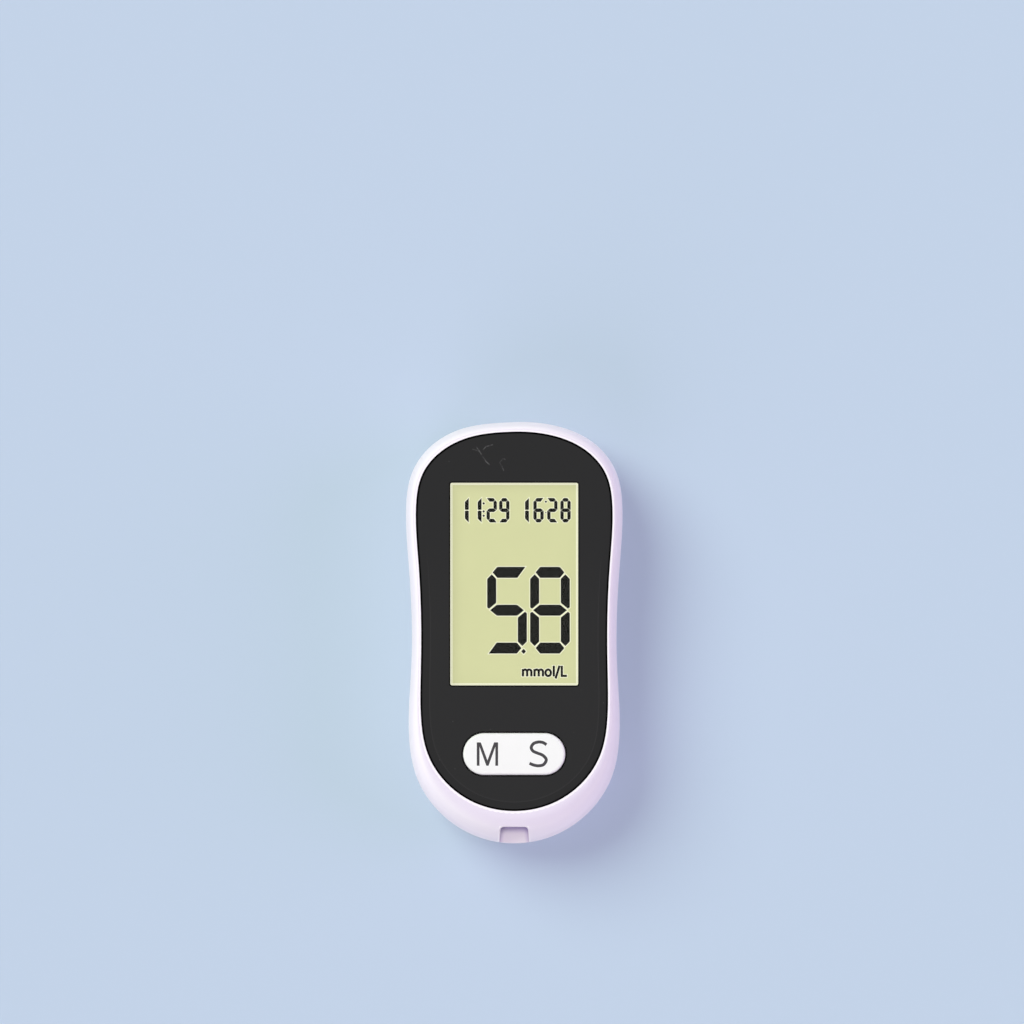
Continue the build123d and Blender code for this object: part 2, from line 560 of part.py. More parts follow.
def front_cover():
    outer = shell_body(PARTING_Z, LIP_Z)
    shell = outer - shell_body(PARTING_Z, DECK_UNDER_Z, WALL, 4)
    slot_block = outer & block(-NOTCH_FRONT_HALF_WIDTH - NOTCH_WALL,
                               NOTCH_FRONT_HALF_WIDTH + NOTCH_WALL, STRIP_END_Y - CUT,
                               NOTCH_BACK_Y + NOTCH_WALL, PARTING_Z, DECK_TOP_Z)
    shell += slot_block
    pocket_half = FLANGE_HALF_HEIGHT + KEY_POCKET_MARGIN + BEARING_THICKNESS
    shell -= rounded_block(FLANGE_HALF_WIDTH + KEY_POCKET_MARGIN,
                           KEY_Y - pocket_half, KEY_Y + pocket_half, KEY_POCKET_CORNER,
                           DECK_UNDER_Z - EPS, KEY_POCKET_Z)
    bearings, seats = key_bearings()
    shell = shell + bearings - seats
    for x, y in CASE_SCREWS:
        shell += peg(x, y, BOSS_RADIUS, BOSS_BOTTOM_Z, DECK_UNDER_Z + DECK_THICKNESS / 2)
    for x, y in CASE_SCREWS:
        shell -= peg(x, y, CASE_SCREW_RADIUS + SCREW_PILOT_CLEARANCE, BOSS_BOTTOM_Z - EPS,
                     SCREW_HOLE_TOP_Z)
    shell -= slab(PANEL.inset(-PANEL_CLEARANCE), DECK_TOP_Z, LIP_Z + CUT)
    shell -= display_opening(DISPLAY_CUT_CLEARANCE, DECK_UNDER_Z - CUT, DECK_TOP_Z + CUT)
    shell -= pill(KEY_GAP, DECK_UNDER_Z - CUT, DECK_TOP_Z + CUT)
    rebate_inset = WALL - TONGUE_THICKNESS - TONGUE_CLEARANCE
    shell -= (slab(CASE.inset(rebate_inset), PARTING_Z - EPS,
                   PARTING_Z + TONGUE_HEIGHT + TONGUE_CLEARANCE)
              - slab(CASE.inset(WALL + TONGUE_CLEARANCE), PARTING_Z - CUT, LIP_Z))
    shell -= seam_groove()
    shell -= strip_notch()
    shell -= block(-SLOT_WIDTH / 2, SLOT_WIDTH / 2, NOTCH_BACK_Y - CUT,
                   NOTCH_BACK_Y + NOTCH_WALL + CUT, NOTCH_FLOOR_Z, SLOT_TOP_Z)
    return shell


def rear_cover_features():
    """What stands inside the rear cover: bay, ledge, latch pocket, screw wells and board posts."""
    bay = block(-BAY_OUTER_HALF_WIDTH, BAY_OUTER_HALF_WIDTH, BAY_BOTTOM - BAY_WALL,
                BAY_TOP + BAY_WALL, 0, BAY_ROOF_Z)
    ledge_outer = OPENING_HALF_WIDTH + DOOR_LEDGE
    ledge = block(-ledge_outer, ledge_outer, OPENING_BOTTOM_Y - DOOR_LEDGE, BAY_TOP + BAY_WALL,
                  0, BACK_WALL + DOOR_LEDGE_THICKNESS)
    pocket_half = LATCH_OPENING_HALF_WIDTH + LATCH_POCKET_WALL
    pocket = block(-pocket_half, pocket_half, LATCH_POCKET_END_Y - LATCH_POCKET_WALL,
                   BAY_BOTTOM - BAY_WALL / 2, 0, LATCH_POCKET_TOP_Z + LATCH_POCKET_WALL)
    wells = [peg(x, y, SCREW_WELL_RADIUS + SCREW_WELL_WALL, 0, SCREW_SEAT_Z + SCREW_SEAT_THICKNESS)
             for x, y in CASE_SCREWS]
    posts = [peg(x, y, BOARD_POST_RADIUS, 0, BOARD_UNDER_Z) for x, y in BOARD_SCREWS]
    return [bay, ledge, pocket, *wells, *posts]


def rear_cover():
    outer = shell_body(PARTING_Z, 0)
    shell = outer - shell_body(PARTING_Z, BACK_WALL, WALL, 4)
    tongue_outer = CASE.inset(WALL - TONGUE_THICKNESS)
    shell += (slab(tongue_outer, PARTING_Z - TONGUE_ROOT, PARTING_Z + TONGUE_HEIGHT)
              - slab(CASE.inset(WALL), PARTING_Z - CUT, LIP_Z))
    room = outer + slab(CASE.inset(WALL), PARTING_Z, BOARD_TOP_Z)
    for feature in rear_cover_features():
        shell += feature & room
    # hollows
    shell -= block(-BAY_HALF_WIDTH, BAY_HALF_WIDTH, BAY_BOTTOM, BAY_TOP, -CUT, BAY_CEILING_Z)
    shell -= rounded_block(OPENING_HALF_WIDTH, OPENING_BOTTOM_Y, DOOR_AXIS_Y,
                           DOOR_CORNER + DOOR_CLEARANCE, -CUT, BACK_WALL)
    shell -= block(-LATCH_OPENING_HALF_WIDTH, LATCH_OPENING_HALF_WIDTH, LATCH_EDGE_Y,
                   OPENING_BOTTOM_Y + DOOR_CORNER + CUT, -CUT, BACK_WALL)
    shell -= block(-LATCH_OPENING_HALF_WIDTH, LATCH_OPENING_HALF_WIDTH, LATCH_POCKET_END_Y,
                   BAY_BOTTOM - BAY_WALL, BACK_WALL, LATCH_POCKET_TOP_Z)
    for x, y in CASE_SCREWS:
        shell -= peg(x, y, SCREW_WELL_RADIUS, -CUT, SCREW_SEAT_Z)
        shell -= peg(x, y, CASE_SCREW_RADIUS + SCREW_PASS_CLEARANCE, SCREW_SEAT_Z - CUT,
                     SCREW_SEAT_Z + SCREW_SEAT_THICKNESS + CUT)
    for x, y in BOARD_SCREWS:
        shell -= peg(x, y, BOARD_SCREW_RADIUS + SCREW_PILOT_CLEARANCE,
                     BOARD_TOP_Z - BOARD_SCREW_LENGTH - SCREW_TIP_ROOM, BOARD_UNDER_Z + CUT)
    for side in (-1, 1):
        shell -= tab_slot(side, BAY_CEILING_Z - CUT, BAY_ROOF_Z + CUT)
    shell -= seam_groove()
    return shell - label_block(0, -CUT, LABEL_SINK)


# ---------------------------------------------------------------- battery door
def battery_door():
    half = OPENING_HALF_WIDTH - DOOR_CLEARANCE
    top = DOOR_AXIS_Y - DOOR_CLEARANCE
    plate = rounded_block(half, OPENING_BOTTOM_Y + DOOR_CLEARANCE, top, DOOR_CORNER,
                          DOOR_SINK, DOOR_INNER_Z)
    foot = OPENING_BOTTOM_Y - LATCH_SHEET - DOOR_CLEARANCE
    plate += block(-LATCH_HALF_WIDTH, LATCH_HALF_WIDTH, foot,
                   OPENING_BOTTOM_Y + DOOR_CORNER + CUT, DOOR_SINK, DOOR_INNER_Z)
    tab_top = DOOR_TAB_BASE_Z + DOOR_TAB_THICKNESS
    for side in (-1, 1):
        x_from = side * DOOR_TAB_X - DOOR_TAB_WIDTH / 2
        x_to = x_from + DOOR_TAB_WIDTH
        root = DOOR_AXIS_Y - DOOR_TAB_ROOT
        plate += block(x_from, x_to, root, top, DOOR_INNER_Z - EPS, tab_top)
        plate += block(x_from, x_to, root, DOOR_AXIS_Y + DOOR_TAB_REACH, DOOR_TAB_BASE_Z, tab_top)
    return plate


def door_latch():
    """U-shaped snap arm: a leg on the door, a bow, and a thumb pad with a nose."""
    root_high = OPENING_BOTTOM_Y
    root_low = root_high - LATCH_SHEET
    pad_low = LATCH_EDGE_Y + DOOR_CLEARANCE
    pad_high = root_low - 2 * DOOR_CLEARANCE
    arm_high = pad_low + LATCH_SHEET
    bow = DOOR_INNER_Z + LATCH_HEIGHT
    nose_tip, nose_base = LATCH_EDGE_Y - LATCH_NOSE, DOOR_TAB_BASE_Z
    points = [(root_high, DOOR_INNER_Z), (root_high, bow), (pad_low, bow),
              (pad_low, nose_base + LATCH_NOSE_HEIGHT), (nose_tip, nose_base + LATCH_NOSE_FLAT),
              (nose_tip, nose_base), (pad_low, nose_base),
              (pad_low, DOOR_SINK), (pad_high, DOOR_SINK), (pad_high, DOOR_INNER_Z),
              (arm_high, DOOR_INNER_Z), (arm_high, bow - LATCH_SHEET),
              (root_low, bow - LATCH_SHEET), (root_low, DOOR_INNER_Z)]
    arm = side_profile(points, -LATCH_HALF_WIDTH, LATCH_HALF_WIDTH)
    pitch = (pad_high - pad_low) / LATCH_GROOVES
    groove_half = LATCH_HALF_WIDTH - LATCH_GROOVE_MARGIN
    for i in range(LATCH_GROOVES):
        y = pad_low + (i + 0.5) * pitch
        arm -= block(-groove_half, groove_half, y - pitch / 4, y + pitch / 4,
                     DOOR_SINK - CUT, DOOR_SINK + LATCH_GROOVE_DEPTH)
    return arm


def label_block(inset, z_from, z_to):
    """Block with the rear label's outline, drawn inwards all round."""
    return rounded_block(LABEL_WIDTH / 2 - inset, LABEL_Y - LABEL_HEIGHT / 2 + inset,
                         LABEL_Y + LABEL_HEIGHT / 2 - inset, LABEL_CORNER - inset, z_from, z_to)


def rear_label():
    return label_block(LABEL_CLEARANCE, LABEL_SINK - LABEL_THICKNESS, LABEL_SINK)


# ---------------------------------------------------------------- front panel and display
def view_block(grow, corner, z_from, z_to):
    """Block over the visible area of the display, grown all round."""
    return rounded_block(VIEW_WIDTH / 2 + grow, VIEW_BOTTOM_Y - grow, VIEW_TOP_Y + grow,
                         corner, z_from, z_to)


def front_panel():
    edge_z = PANEL_TOP_Z - PANEL_SLOPE
    plate = slab(PANEL, PANEL_BOTTOM_Z, edge_z)
    plate += loft([PANEL.face(edge_z), PANEL.inset(PANEL_BORDER).face(PANEL_TOP_Z)], ruled=True)
    plate -= view_block(0, VIEW_CORNER, PANEL_BOTTOM_Z - CUT, PANEL_TOP_Z + CUT)
    plate -= view_block(WINDOW_FLANGE, WINDOW_FLANGE_CORNER, PANEL_BOTTOM_Z - CUT,
                        PANEL_BOTTOM_Z + WINDOW_FLANGE_THICKNESS)
    return plate - pill(KEY_GAP, PANEL_BOTTOM_Z - CUT, PANEL_TOP_Z + CUT)


def display_window():
    face_z = PANEL_TOP_Z - WINDOW_SINK
    pane = view_block(-WINDOW_FIT, VIEW_CORNER, PANEL_BOTTOM_Z, face_z)
    pane = chamfer(pane.faces().sort_by(Axis.Z)[-1].edges(), WINDOW_CHAMFER)
    return pane + view_block(WINDOW_FLANGE - WINDOW_FIT, WINDOW_FLANGE_CORNER, PANEL_BOTTOM_Z,
                             PANEL_BOTTOM_Z + WINDOW_FLANGE_THICKNESS - WINDOW_FIT)


def panel_adhesive():
    foil = slab(PANEL.inset(ADHESIVE_INSET), DECK_TOP_Z, PANEL_BOTTOM_Z)
    foil -= display_opening(DISPLAY_CUT_CLEARANCE, DECK_TOP_Z - CUT, PANEL_BOTTOM_Z + CUT)
    return foil - pill(2 * KEY_GAP, DECK_TOP_Z - CUT, PANEL_BOTTOM_Z + CUT)


def lcd_front_polariser():
    return view_block(POLARISER_MARGIN, POLARISER_CORNER, FRONT_GLASS_TOP_Z, POLARISER_TOP_Z)


def lcd_front_glass():
    return block(-GLASS_HALF_WIDTH, GLASS_HALF_WIDTH, FRONT_GLASS_BOTTOM_Y, GLASS_TOP_Y,
                 REAR_GLASS_TOP_Z, FRONT_GLASS_TOP_Z)


def lcd_rear_glass():
    return block(-GLASS_HALF_WIDTH, GLASS_HALF_WIDTH, REAR_GLASS_BOTTOM_Y, GLASS_TOP_Y,
                 REFLECTOR_TOP_Z, REAR_GLASS_TOP_Z)


def lcd_reflector():
    return block(-GLASS_HALF_WIDTH, GLASS_HALF_WIDTH, REAR_GLASS_BOTTOM_Y, GLASS_TOP_Y,
                 LCD_SEAT_Z, REFLECTOR_TOP_Z)


def zebra_span():
    """Lowest and highest Y of the rubber connector strip, under the front glass's ledge."""
    middle = (FRONT_GLASS_BOTTOM_Y + REAR_GLASS_BOTTOM_Y) / 2
    return middle - ZEBRA_WIDTH / 2, middle + ZEBRA_WIDTH / 2


def zebra_strip():
    low, high = zebra_span()
    reach = GLASS_HALF_WIDTH - ZEBRA_END_GAP
    return block(-reach, reach, low, high, BOARD_TOP_Z, REAR_GLASS_TOP_Z)


def lcd_frame():
    """Tray on the board: a wall round the glass, a floor under it, a slot for the strip."""
    tray = rounded_block(FRAME_HALF_WIDTH, FRAME_BOTTOM_Y, FRAME_TOP_Y, LCD_FRAME_CORNER,
                         BOARD_TOP_Z, FRONT_GLASS_TOP_Z)
    room = GLASS_HALF_WIDTH + LCD_FRAME_CLEARANCE
    low, high = FRONT_GLASS_BOTTOM_Y - LCD_FRAME_CLEARANCE, GLASS_TOP_Y + LCD_FRAME_CLEARANCE
    tray -= block(-room, room, low, high, LCD_SEAT_Z, FRONT_GLASS_TOP_Z + CUT)
    zebra_low, zebra_high = zebra_span()
    tray -= block(-room, room, zebra_high + 2 * LCD_FRAME_CLEARANCE + LCD_FRAME_WALL, high,
                  BOARD_TOP_Z - CUT, LCD_SEAT_Z - LCD_FRAME_FLOOR)
    slot = room - ZEBRA_END_GAP
    return tray - block(-slot, slot, zebra_low - LCD_FRAME_CLEARANCE,
                        zebra_high + LCD_FRAME_CLEARANCE, BOARD_TOP_Z - CUT, LCD_SEAT_Z + CUT)


# ---------------------------------------------------------------- key and keypad
def key_cap():
    """Hollow rocker cap with a flange, a pin at each long side and a plunger over each dome."""
    cap = pill(0, FLANGE_BASE_Z, KEY_TOP_Z)
    cap = fillet(cap.faces().sort_by(Axis.Z)[-1].edges(), KEY_EDGE_ROUND)
    cap += pill(KEY_FLANGE, FLANGE_BASE_Z, FLANGE_TOP_Z)
    cap -= pill(-KEY_WALL, FLANGE_BASE_Z - CUT, KEY_TOP_Z - KEY_WALL - KEY_EDGE_ROUND)
    rib = KEY_PIN_RADIUS
    cap += block(-rib, rib, KEY_Y - KEY_HEIGHT / 2 + KEY_WALL / 2,
                 KEY_Y + KEY_HEIGHT / 2 - KEY_WALL / 2, FLANGE_BASE_Z, KEY_TOP_Z - KEY_WALL)
    for side in (-1, 1):
        cap += peg(side * DOME_X, KEY_Y, PLUNGER_RADIUS, FLANGE_BASE_Z, KEY_TOP_Z - KEY_WALL)
        root = KEY_Y + side * (FLANGE_HALF_HEIGHT - KEY_FLANGE)
        length = KEY_FLANGE + KEY_PIN_LENGTH
        cap += Pos(0, root + side * length / 2, KEY_PIVOT_Z) * Rot(90, 0, 0) * Cylinder(
            KEY_PIN_RADIUS, length)
    return cap


def rubber_keypad():
    half_height = FLANGE_HALF_HEIGHT - MAT_END_INSET
    mat = rounded_block(FLANGE_HALF_WIDTH - MAT_SIDE_INSET, KEY_Y - half_height,
                        KEY_Y + half_height, MAT_CORNER, BOARD_TOP_Z,
                        BOARD_TOP_Z + MAT_THICKNESS)
    top = BOARD_TOP_Z + MAT_THICKNESS
    rise = DOME_TOP_Z - top
    for side in (-1, 1):
        spot = Pos(side * DOME_X, KEY_Y, top + rise / 2)
        mat += spot * Cone(DOME_BASE_RADIUS, DOME_TOP_RADIUS, rise)
    for side in (-1, 1):
        hollow = DOME_TOP_Z - DOME_SKIN - BOARD_TOP_Z
        spot = Pos(side * DOME_X, KEY_Y, BOARD_TOP_Z + hollow / 2)
        mat -= spot * Cone(DOME_BASE_RADIUS - DOME_SKIN, DOME_TOP_RADIUS - DOME_SKIN, hollow)
    return mat


def carbon_pills():
    top = DOME_TOP_Z - DOME_SKIN
    return [peg(side * DOME_X, KEY_Y, PILL_RADIUS, top - PILL_THICKNESS, top)
            for side in (-1, 1)]


# ---------------------------------------------------------------- electronics
def tab_slot(side, z_from, z_to):
    """Room for the tab of a battery contact on one side."""
    half = TAB_WIDTH / 2 + TAB_CLEARANCE
    return block(side * CELL_X - half, side * CELL_X + half, BAY_BOTTOM - TAB_CLEARANCE,
                 BAY_BOTTOM + PLATE_THICKNESS + TAB_CLEARANCE, z_from, z_to)


def circuit_board():
    """One board: a wide middle and a narrower tongue towards each end."""
    board = rounded_block(BOARD_HALF_WIDTH, BOARD_WIDE_BOTTOM_Y, BOARD_WIDE_TOP_Y, BOARD_CORNER,
                          BOARD_UNDER_Z, BOARD_TOP_Z)
    board += rounded_block(BOARD_TONGUE_HALF_WIDTH, BOARD_BOTTOM_Y, BOARD_TOP_Y,
                           BOARD_TONGUE_CORNER, BOARD_UNDER_Z, BOARD_TOP_Z)
    for x, y in BOARD_SCREWS:
        board -= peg(x, y, BOARD_SCREW_RADIUS + SCREW_PASS_CLEARANCE, BOARD_UNDER_Z - CUT,
                     BOARD_TOP_Z + CUT)
    for side in (-1, 1):
        board -= tab_slot(side, BOARD_UNDER_Z - CUT, BOARD_TOP_Z + CUT)
    return board


def chip(x, y, width, length, thickness, leads, both_axes=False):
    """Package under the board with rows of flat leads, as (body, leads)."""
    top = BOARD_UNDER_Z - CHIP_STANDOFF
    lead_z = BOARD_UNDER_Z - LEAD_THICKNESS
    body = block(x - width / 2, x + width / 2, y - length / 2, y + length / 2,
                 top - thickness, top)
    pins = []
    for turned in ((False, True) if both_axes else (False,)):
        span, depth = (width, length) if turned else (length, width)
        pitch = span / (leads + 1)
        for i in range(leads):
            along = -span / 2 + (i + 1) * pitch
            a, b = along - pitch / 4, along + pitch / 4
            for side in (-1, 1):
                near, far = sorted((side * depth / 2, side * (depth / 2 + LEAD_LENGTH)))
                if turned:
                    pins.append(block(x + a, x + b, y + near, y + far, lead_z, BOARD_UNDER_Z))
                else:
                    pins.append(block(x + near, x + far, y + a, y + b, lead_z, BOARD_UNDER_Z))
    return body + pins


def microcontroller():
    return chip(CONTROLLER_X, CONNECTOR_END_Y + CONTROLLER_FROM_CONNECTOR, CONTROLLER_SIZE,
                CONTROLLER_SIZE, CONTROLLER_THICKNESS, CONTROLLER_LEADS, both_axes=True)


def small_chip(x, from_connector):
    return chip(x, CONNECTOR_END_Y + from_connector, SMALL_CHIP_WIDTH, SMALL_CHIP_LENGTH,
                SMALL_CHIP_THICKNESS, SMALL_CHIP_LEADS)


def crystal():
    """Small watch crystal lying under the board beside the battery bay, on two bent leads."""
    x = -BAY_OUTER_HALF_WIDTH - CRYSTAL_BAY_GAP - CRYSTAL_RADIUS
    foot_y = CRYSTAL_TOP_Y - CRYSTAL_LENGTH
    z = BOARD_UNDER_Z - CRYSTAL_RADIUS
    piece = Pos(x, CRYSTAL_TOP_Y - CRYSTAL_LENGTH / 2, z) * Rot(90, 0, 0) * Cylinder(
        CRYSTAL_RADIUS, CRYSTAL_LENGTH)
    for side in (-1, 1):
        lead_x = x + side * CRYSTAL_LEAD_SPACING / 2
        x_from, x_to = lead_x - CRYSTAL_LEAD / 2, lead_x + CRYSTAL_LEAD / 2
        end_y = foot_y - CRYSTAL_LEAD_LENGTH
        piece += block(x_from, x_to, end_y, foot_y + CRYSTAL_LEAD, z, z + CRYSTAL_LEAD)
        piece += block(x_from, x_to, end_y - CRYSTAL_LEAD, end_y, z, BOARD_UNDER_Z)
    return piece


def row(count, x, y, along_y=False):
    """Places of a row of small parts from its first one, a pitch apart."""
    steps = [i * SMALL_PART_PITCH for i in range(count)]
    return [(x, y + step) if along_y else (x + step, y) for step in steps]


def small_parts():
    """Resistors and capacitors in rows on both faces of the board, each a block of its own."""
    beside_bay = BAY_OUTER_HALF_WIDTH + 5.1
    by_connector, by_latch = CONNECTOR_END_Y + 0.95, BAY_BOTTOM - 4.1
    under = (row(2, -12.5, by_connector) + row(1, 11.5, by_connector)
             + row(3, -beside_bay, 10.0, along_y=True) + row(2, beside_bay, 10.0, along_y=True)
             + row(2, 13.0, by_latch) + row(2, -15.5, by_latch)
             + row(1, 0.5, CONNECTOR_END_Y + 3.45) + row(1, 0.5, CONNECTOR_END_Y + 13.95))
    over_y = KEY_Y - 9.3
    over = (row(3, -9.5, over_y) + row(2, 6.5, over_y)
            + row(1, -18.0, KEY_Y + 3.7) + row(1, 18.0, KEY_Y + 3.7))
    half_length, half_width = SMALL_PART_LENGTH / 2, SMALL_PART_WIDTH / 2
    return [block(x - half_length, x + half_length, y - half_width, y + half_width, z_from,
                  z_from + SMALL_PART_HEIGHT)
            for places, z_from in ((under, BOARD_UNDER_Z - SMALL_PART_HEIGHT), (over, BOARD_TOP_Z))
            for x, y in places]


def thermistor():
    """Bead under the board beside the strip connector, on two leads."""
    x, y = THERMISTOR_X, CONNECTOR_END_Y + THERMISTOR_FROM_CONNECTOR
    top = BOARD_UNDER_Z - THERMISTOR_STANDOFF
    bead = peg(x, y, THERMISTOR_RADIUS, top - THERMISTOR_HEIGHT, top)
    bead = fillet(bead.edges().filter_by(GeomType.CIRCLE), THERMISTOR_RADIUS / 2)
    half = THERMISTOR_LEAD / 2
    for side in (-1, 1):
        lead_x = x + side * THERMISTOR_RADIUS / 2
        bead += block(lead_x - half, lead_x + half, y - half, y + half,
                      top - THERMISTOR_HEIGHT / 2, BOARD_UNDER_Z)
    return bead


def piezo_buzzer():
    """Flat sounder under the board with a hole in the middle of its cap."""
    x = BAY_OUTER_HALF_WIDTH + BUZZER_BAY_GAP + BUZZER_RADIUS
    low = BOARD_UNDER_Z - BUZZER_HEIGHT
    can = peg(x, BUZZER_Y, BUZZER_RADIUS, low, BOARD_UNDER_Z)
    can = fillet(can.faces().sort_by(Axis.Z)[0].edges(), BUZZER_ROUND)
    return can - peg(x, BUZZER_Y, BUZZER_HOLE_RADIUS, low - CUT, low + BUZZER_HOLE_DEPTH)


def strip_connector():
    """Socket under the board: a slot for the strip and a channel for each contact."""
    floor_z = NOTCH_FLOOR_Z - CONNECTOR_FLOOR
    body = block(-CONNECTOR_WIDTH / 2, CONNECTOR_WIDTH / 2, CONNECTOR_MOUTH_Y,
                 CONNECTOR_END_Y, floor_z, BOARD_UNDER_Z)
    body -= block(-SLOT_WIDTH / 2, SLOT_WIDTH / 2, CONNECTOR_MOUTH_Y - CUT,
                  CONNECTOR_MOUTH_Y + CONNECTOR_SLOT_DEPTH, NOTCH_FLOOR_Z, SLOT_TOP_Z)
    half = CONTACT_WIDTH / 2 + CONTACT_SIDE_GAP
    for x in CONTACT_XS:
        body -= block(x - half, x + half, CONNECTOR_MOUTH_Y + CONTACT_LIP,
                      CONNECTOR_END_Y + CUT, SLOT_TOP_Z - CONTACT_BITE,
                      BOARD_UNDER_Z - CONTACT_ROOF)
    return body


def strip_contacts():
    """Leaf springs: a foot on the board, a beam into the channel and a bump over the strip."""
    foot_y = CONNECTOR_END_Y + CONTACT_FOOT_GAP
    foot_z = BOARD_UNDER_Z - CONTACT_SHEET
    beam_y, beam_z = CONNECTOR_END_Y - CONTACT_BEAM_LENGTH, BOARD_UNDER_Z - CONTACT_BEAM_DROP
    bump_y, bump_z = beam_y - CONTACT_SWEEP, NOTCH_FLOOR_Z + CONTACT_PRESS_Z
    line = [(foot_y + CONTACT_FOOT, foot_z), (foot_y, foot_z),
            (foot_y - CONTACT_FOOT_GAP / 2, beam_z), (beam_y, beam_z), (bump_y, bump_z),
            (bump_y - CONTACT_BUMP_LENGTH, bump_z),
            (CONNECTOR_MOUTH_Y + CONTACT_TIP_GAP, SLOT_TOP_Z)]
    outline = line + [(y, z + CONTACT_SHEET) for y, z in reversed(line)]
    return [side_profile(outline, x - CONTACT_WIDTH / 2, x + CONTACT_WIDTH / 2)
            for x in CONTACT_XS]


# ---------------------------------------------------------------- batteries and contacts
def cell_span(side):
    """Y of a cell's flat end and of its nub; the left cell points to +Y, the right to -Y."""
    if side < 0:
        nub = BAY_TOP - PLATE_THICKNESS
        return nub - CELL_LENGTH, nub
    nub = BAY_BOTTOM + PLATE_THICKNESS
    return nub + CELL_LENGTH, nub


def lying(side, y_from, y_to, radius):
    """Cylinder on a cell's axis between two places along it."""
    return Pos(side * CELL_X, (y_from + y_to) / 2, CELL_Z) * Rot(90, 0, 0) * Cylinder(
        radius, abs(y_to - y_from))


def battery_can(side):
    """Steel cup with the nub formed in its closed end."""
    flat, nub = cell_span(side)
    way = 1 if nub > flat else -1
    shoulder = nub - way * CELL_NUB
    can = lying(side, flat, shoulder, CELL_CAN_RADIUS)
    rims = can.edges().filter_by(GeomType.CIRCLE).sort_by(Axis.Y)
    can = chamfer(rims[-1 if way > 0 else 0], CELL_SHOULDER)
    can += lying(side, shoulder - way * CELL_CAN_WALL, nub, CELL_NUB_RADIUS)
    return can - lying(side, flat - way, shoulder - way * (CELL_CAN_WALL + CELL_SHOULDER),
                       CELL_CAN_RADIUS - CELL_CAN_WALL)


def battery_filling(side):
    flat, nub = cell_span(side)
    way = 1 if nub > flat else -1
    return lying(side, flat + way * CELL_CAP_THICKNESS,
                 nub - way * (CELL_NUB + CELL_CAN_WALL + CELL_SHOULDER), CELL_FILL_RADIUS)


def battery_end_cap(side):
    """Flat disc that closes the cup's open end, the cell's minus pole."""
    flat, nub = cell_span(side)
    way = 1 if nub > flat else -1
    return lying(side, flat, flat + way * CELL_CAP_THICKNESS, CELL_FILL_RADIUS)


def battery_sleeve(side):
    flat, nub = cell_span(side)
    way = 1 if nub > flat else -1
    low, high = flat + way * CELL_SHOULDER, nub - way * (CELL_NUB + CELL_SHOULDER)
    return lying(side, low, high, CELL_RADIUS) - lying(
        side, low - way, high + way, CELL_RADIUS - CELL_SLEEVE)


def contact_plate(side, y_from, tab):
    """Sheet-metal plate behind a cell's end, with a tab up through the board if asked for."""
    inner, outer = CELL_SIDE_GAP + PLATE_MARGIN / 2, BAY_HALF_WIDTH - PLATE_MARGIN
    x_from, x_to = sorted((side * inner, side * outer))
    low, high = CELL_Z - CELL_RADIUS + PLATE_MARGIN, CELL_Z + CELL_RADIUS - PLATE_MARGIN
    plate = block(x_from, x_to, y_from, y_from + PLATE_THICKNESS, low, high)
    if tab:
        x = side * CELL_X
        plate += block(x - TAB_WIDTH / 2, x + TAB_WIDTH / 2, y_from, y_from + PLATE_THICKNESS,
                       high - CUT, BOARD_TOP_Z + TAB_ABOVE_BOARD)
    return plate


def battery_bridge():
    """One plate across both cells at the far end, joined over the middle of the bay."""
    y_from = BAY_TOP - PLATE_THICKNESS
    bridge = block(-CELL_X, CELL_X, y_from, BAY_TOP, CELL_Z - BRIDGE_HALF_HEIGHT,
                   CELL_Z + BRIDGE_HALF_HEIGHT)
    return bridge + contact_plate(-1, y_from, False) + contact_plate(1, y_from, False)


def plus_contact():
    return contact_plate(1, BAY_BOTTOM, True)


def minus_contact():
    return contact_plate(-1, BAY_BOTTOM, True)


def battery_spring(side):
    """Coil of wire between a plate and the flat end of a cell."""
    wire = SPRING_WIRE / 2
    height = SPRING_LENGTH - SPRING_WIRE
    if side < 0:
        start, way = BAY_BOTTOM + PLATE_THICKNESS + wire, 1
    else:
        start, way = BAY_TOP - PLATE_THICKNESS - wire, -1
    path = Helix(height / SPRING_TURNS, height, SPRING_RADIUS,
                 center=(side * CELL_X, start, CELL_Z), direction=(0, way, 0))
    section = Plane(path @ 0, z_dir=path % 0) * Circle(wire)
    return sweep(section, path=path, is_frenet=True)


def battery_springs():
    return [battery_spring(side) for side in (-1, 1)]


# ---------------------------------------------------------------- screws
def screw(x, y, z_seat, way, head_radius, head, radius, length):
    """Pan-head screw with a cross recess; way is +1 where its shank points up."""
    body = peg(x, y, head_radius, *sorted((z_seat, z_seat - way * head)))
    crown = body.faces().sort_by(Axis.Z)[0 if way > 0 else -1]
    body = fillet(crown.edges(), head / 3)
    body += peg(x, y, radius, *sorted((z_seat - way * EPS, z_seat + way * length)))
    slot, reach = head_radius * SCREW_RECESS_SHARES[0], head_radius * SCREW_RECESS_SHARES[1]
    face = z_seat - way * head
    low, high = sorted((face - way * CUT, face + way * head / 2))
    for half_x, half_y in ((slot, reach), (reach, slot)):
        body -= block(x - half_x, x + half_x, y - half_y, y + half_y, low, high)
    return body


def case_screws():
    return [screw(x, y, SCREW_SEAT_Z, 1, CASE_SCREW_HEAD_RADIUS, CASE_SCREW_HEAD,
                  CASE_SCREW_RADIUS, CASE_SCREW_LENGTH) for x, y in CASE_SCREWS]


def board_screws():
    return [screw(x, y, BOARD_TOP_Z, -1, BOARD_SCREW_HEAD_RADIUS, BOARD_SCREW_HEAD,
                  BOARD_SCREW_RADIUS, BOARD_SCREW_LENGTH) for x, y in BOARD_SCREWS]


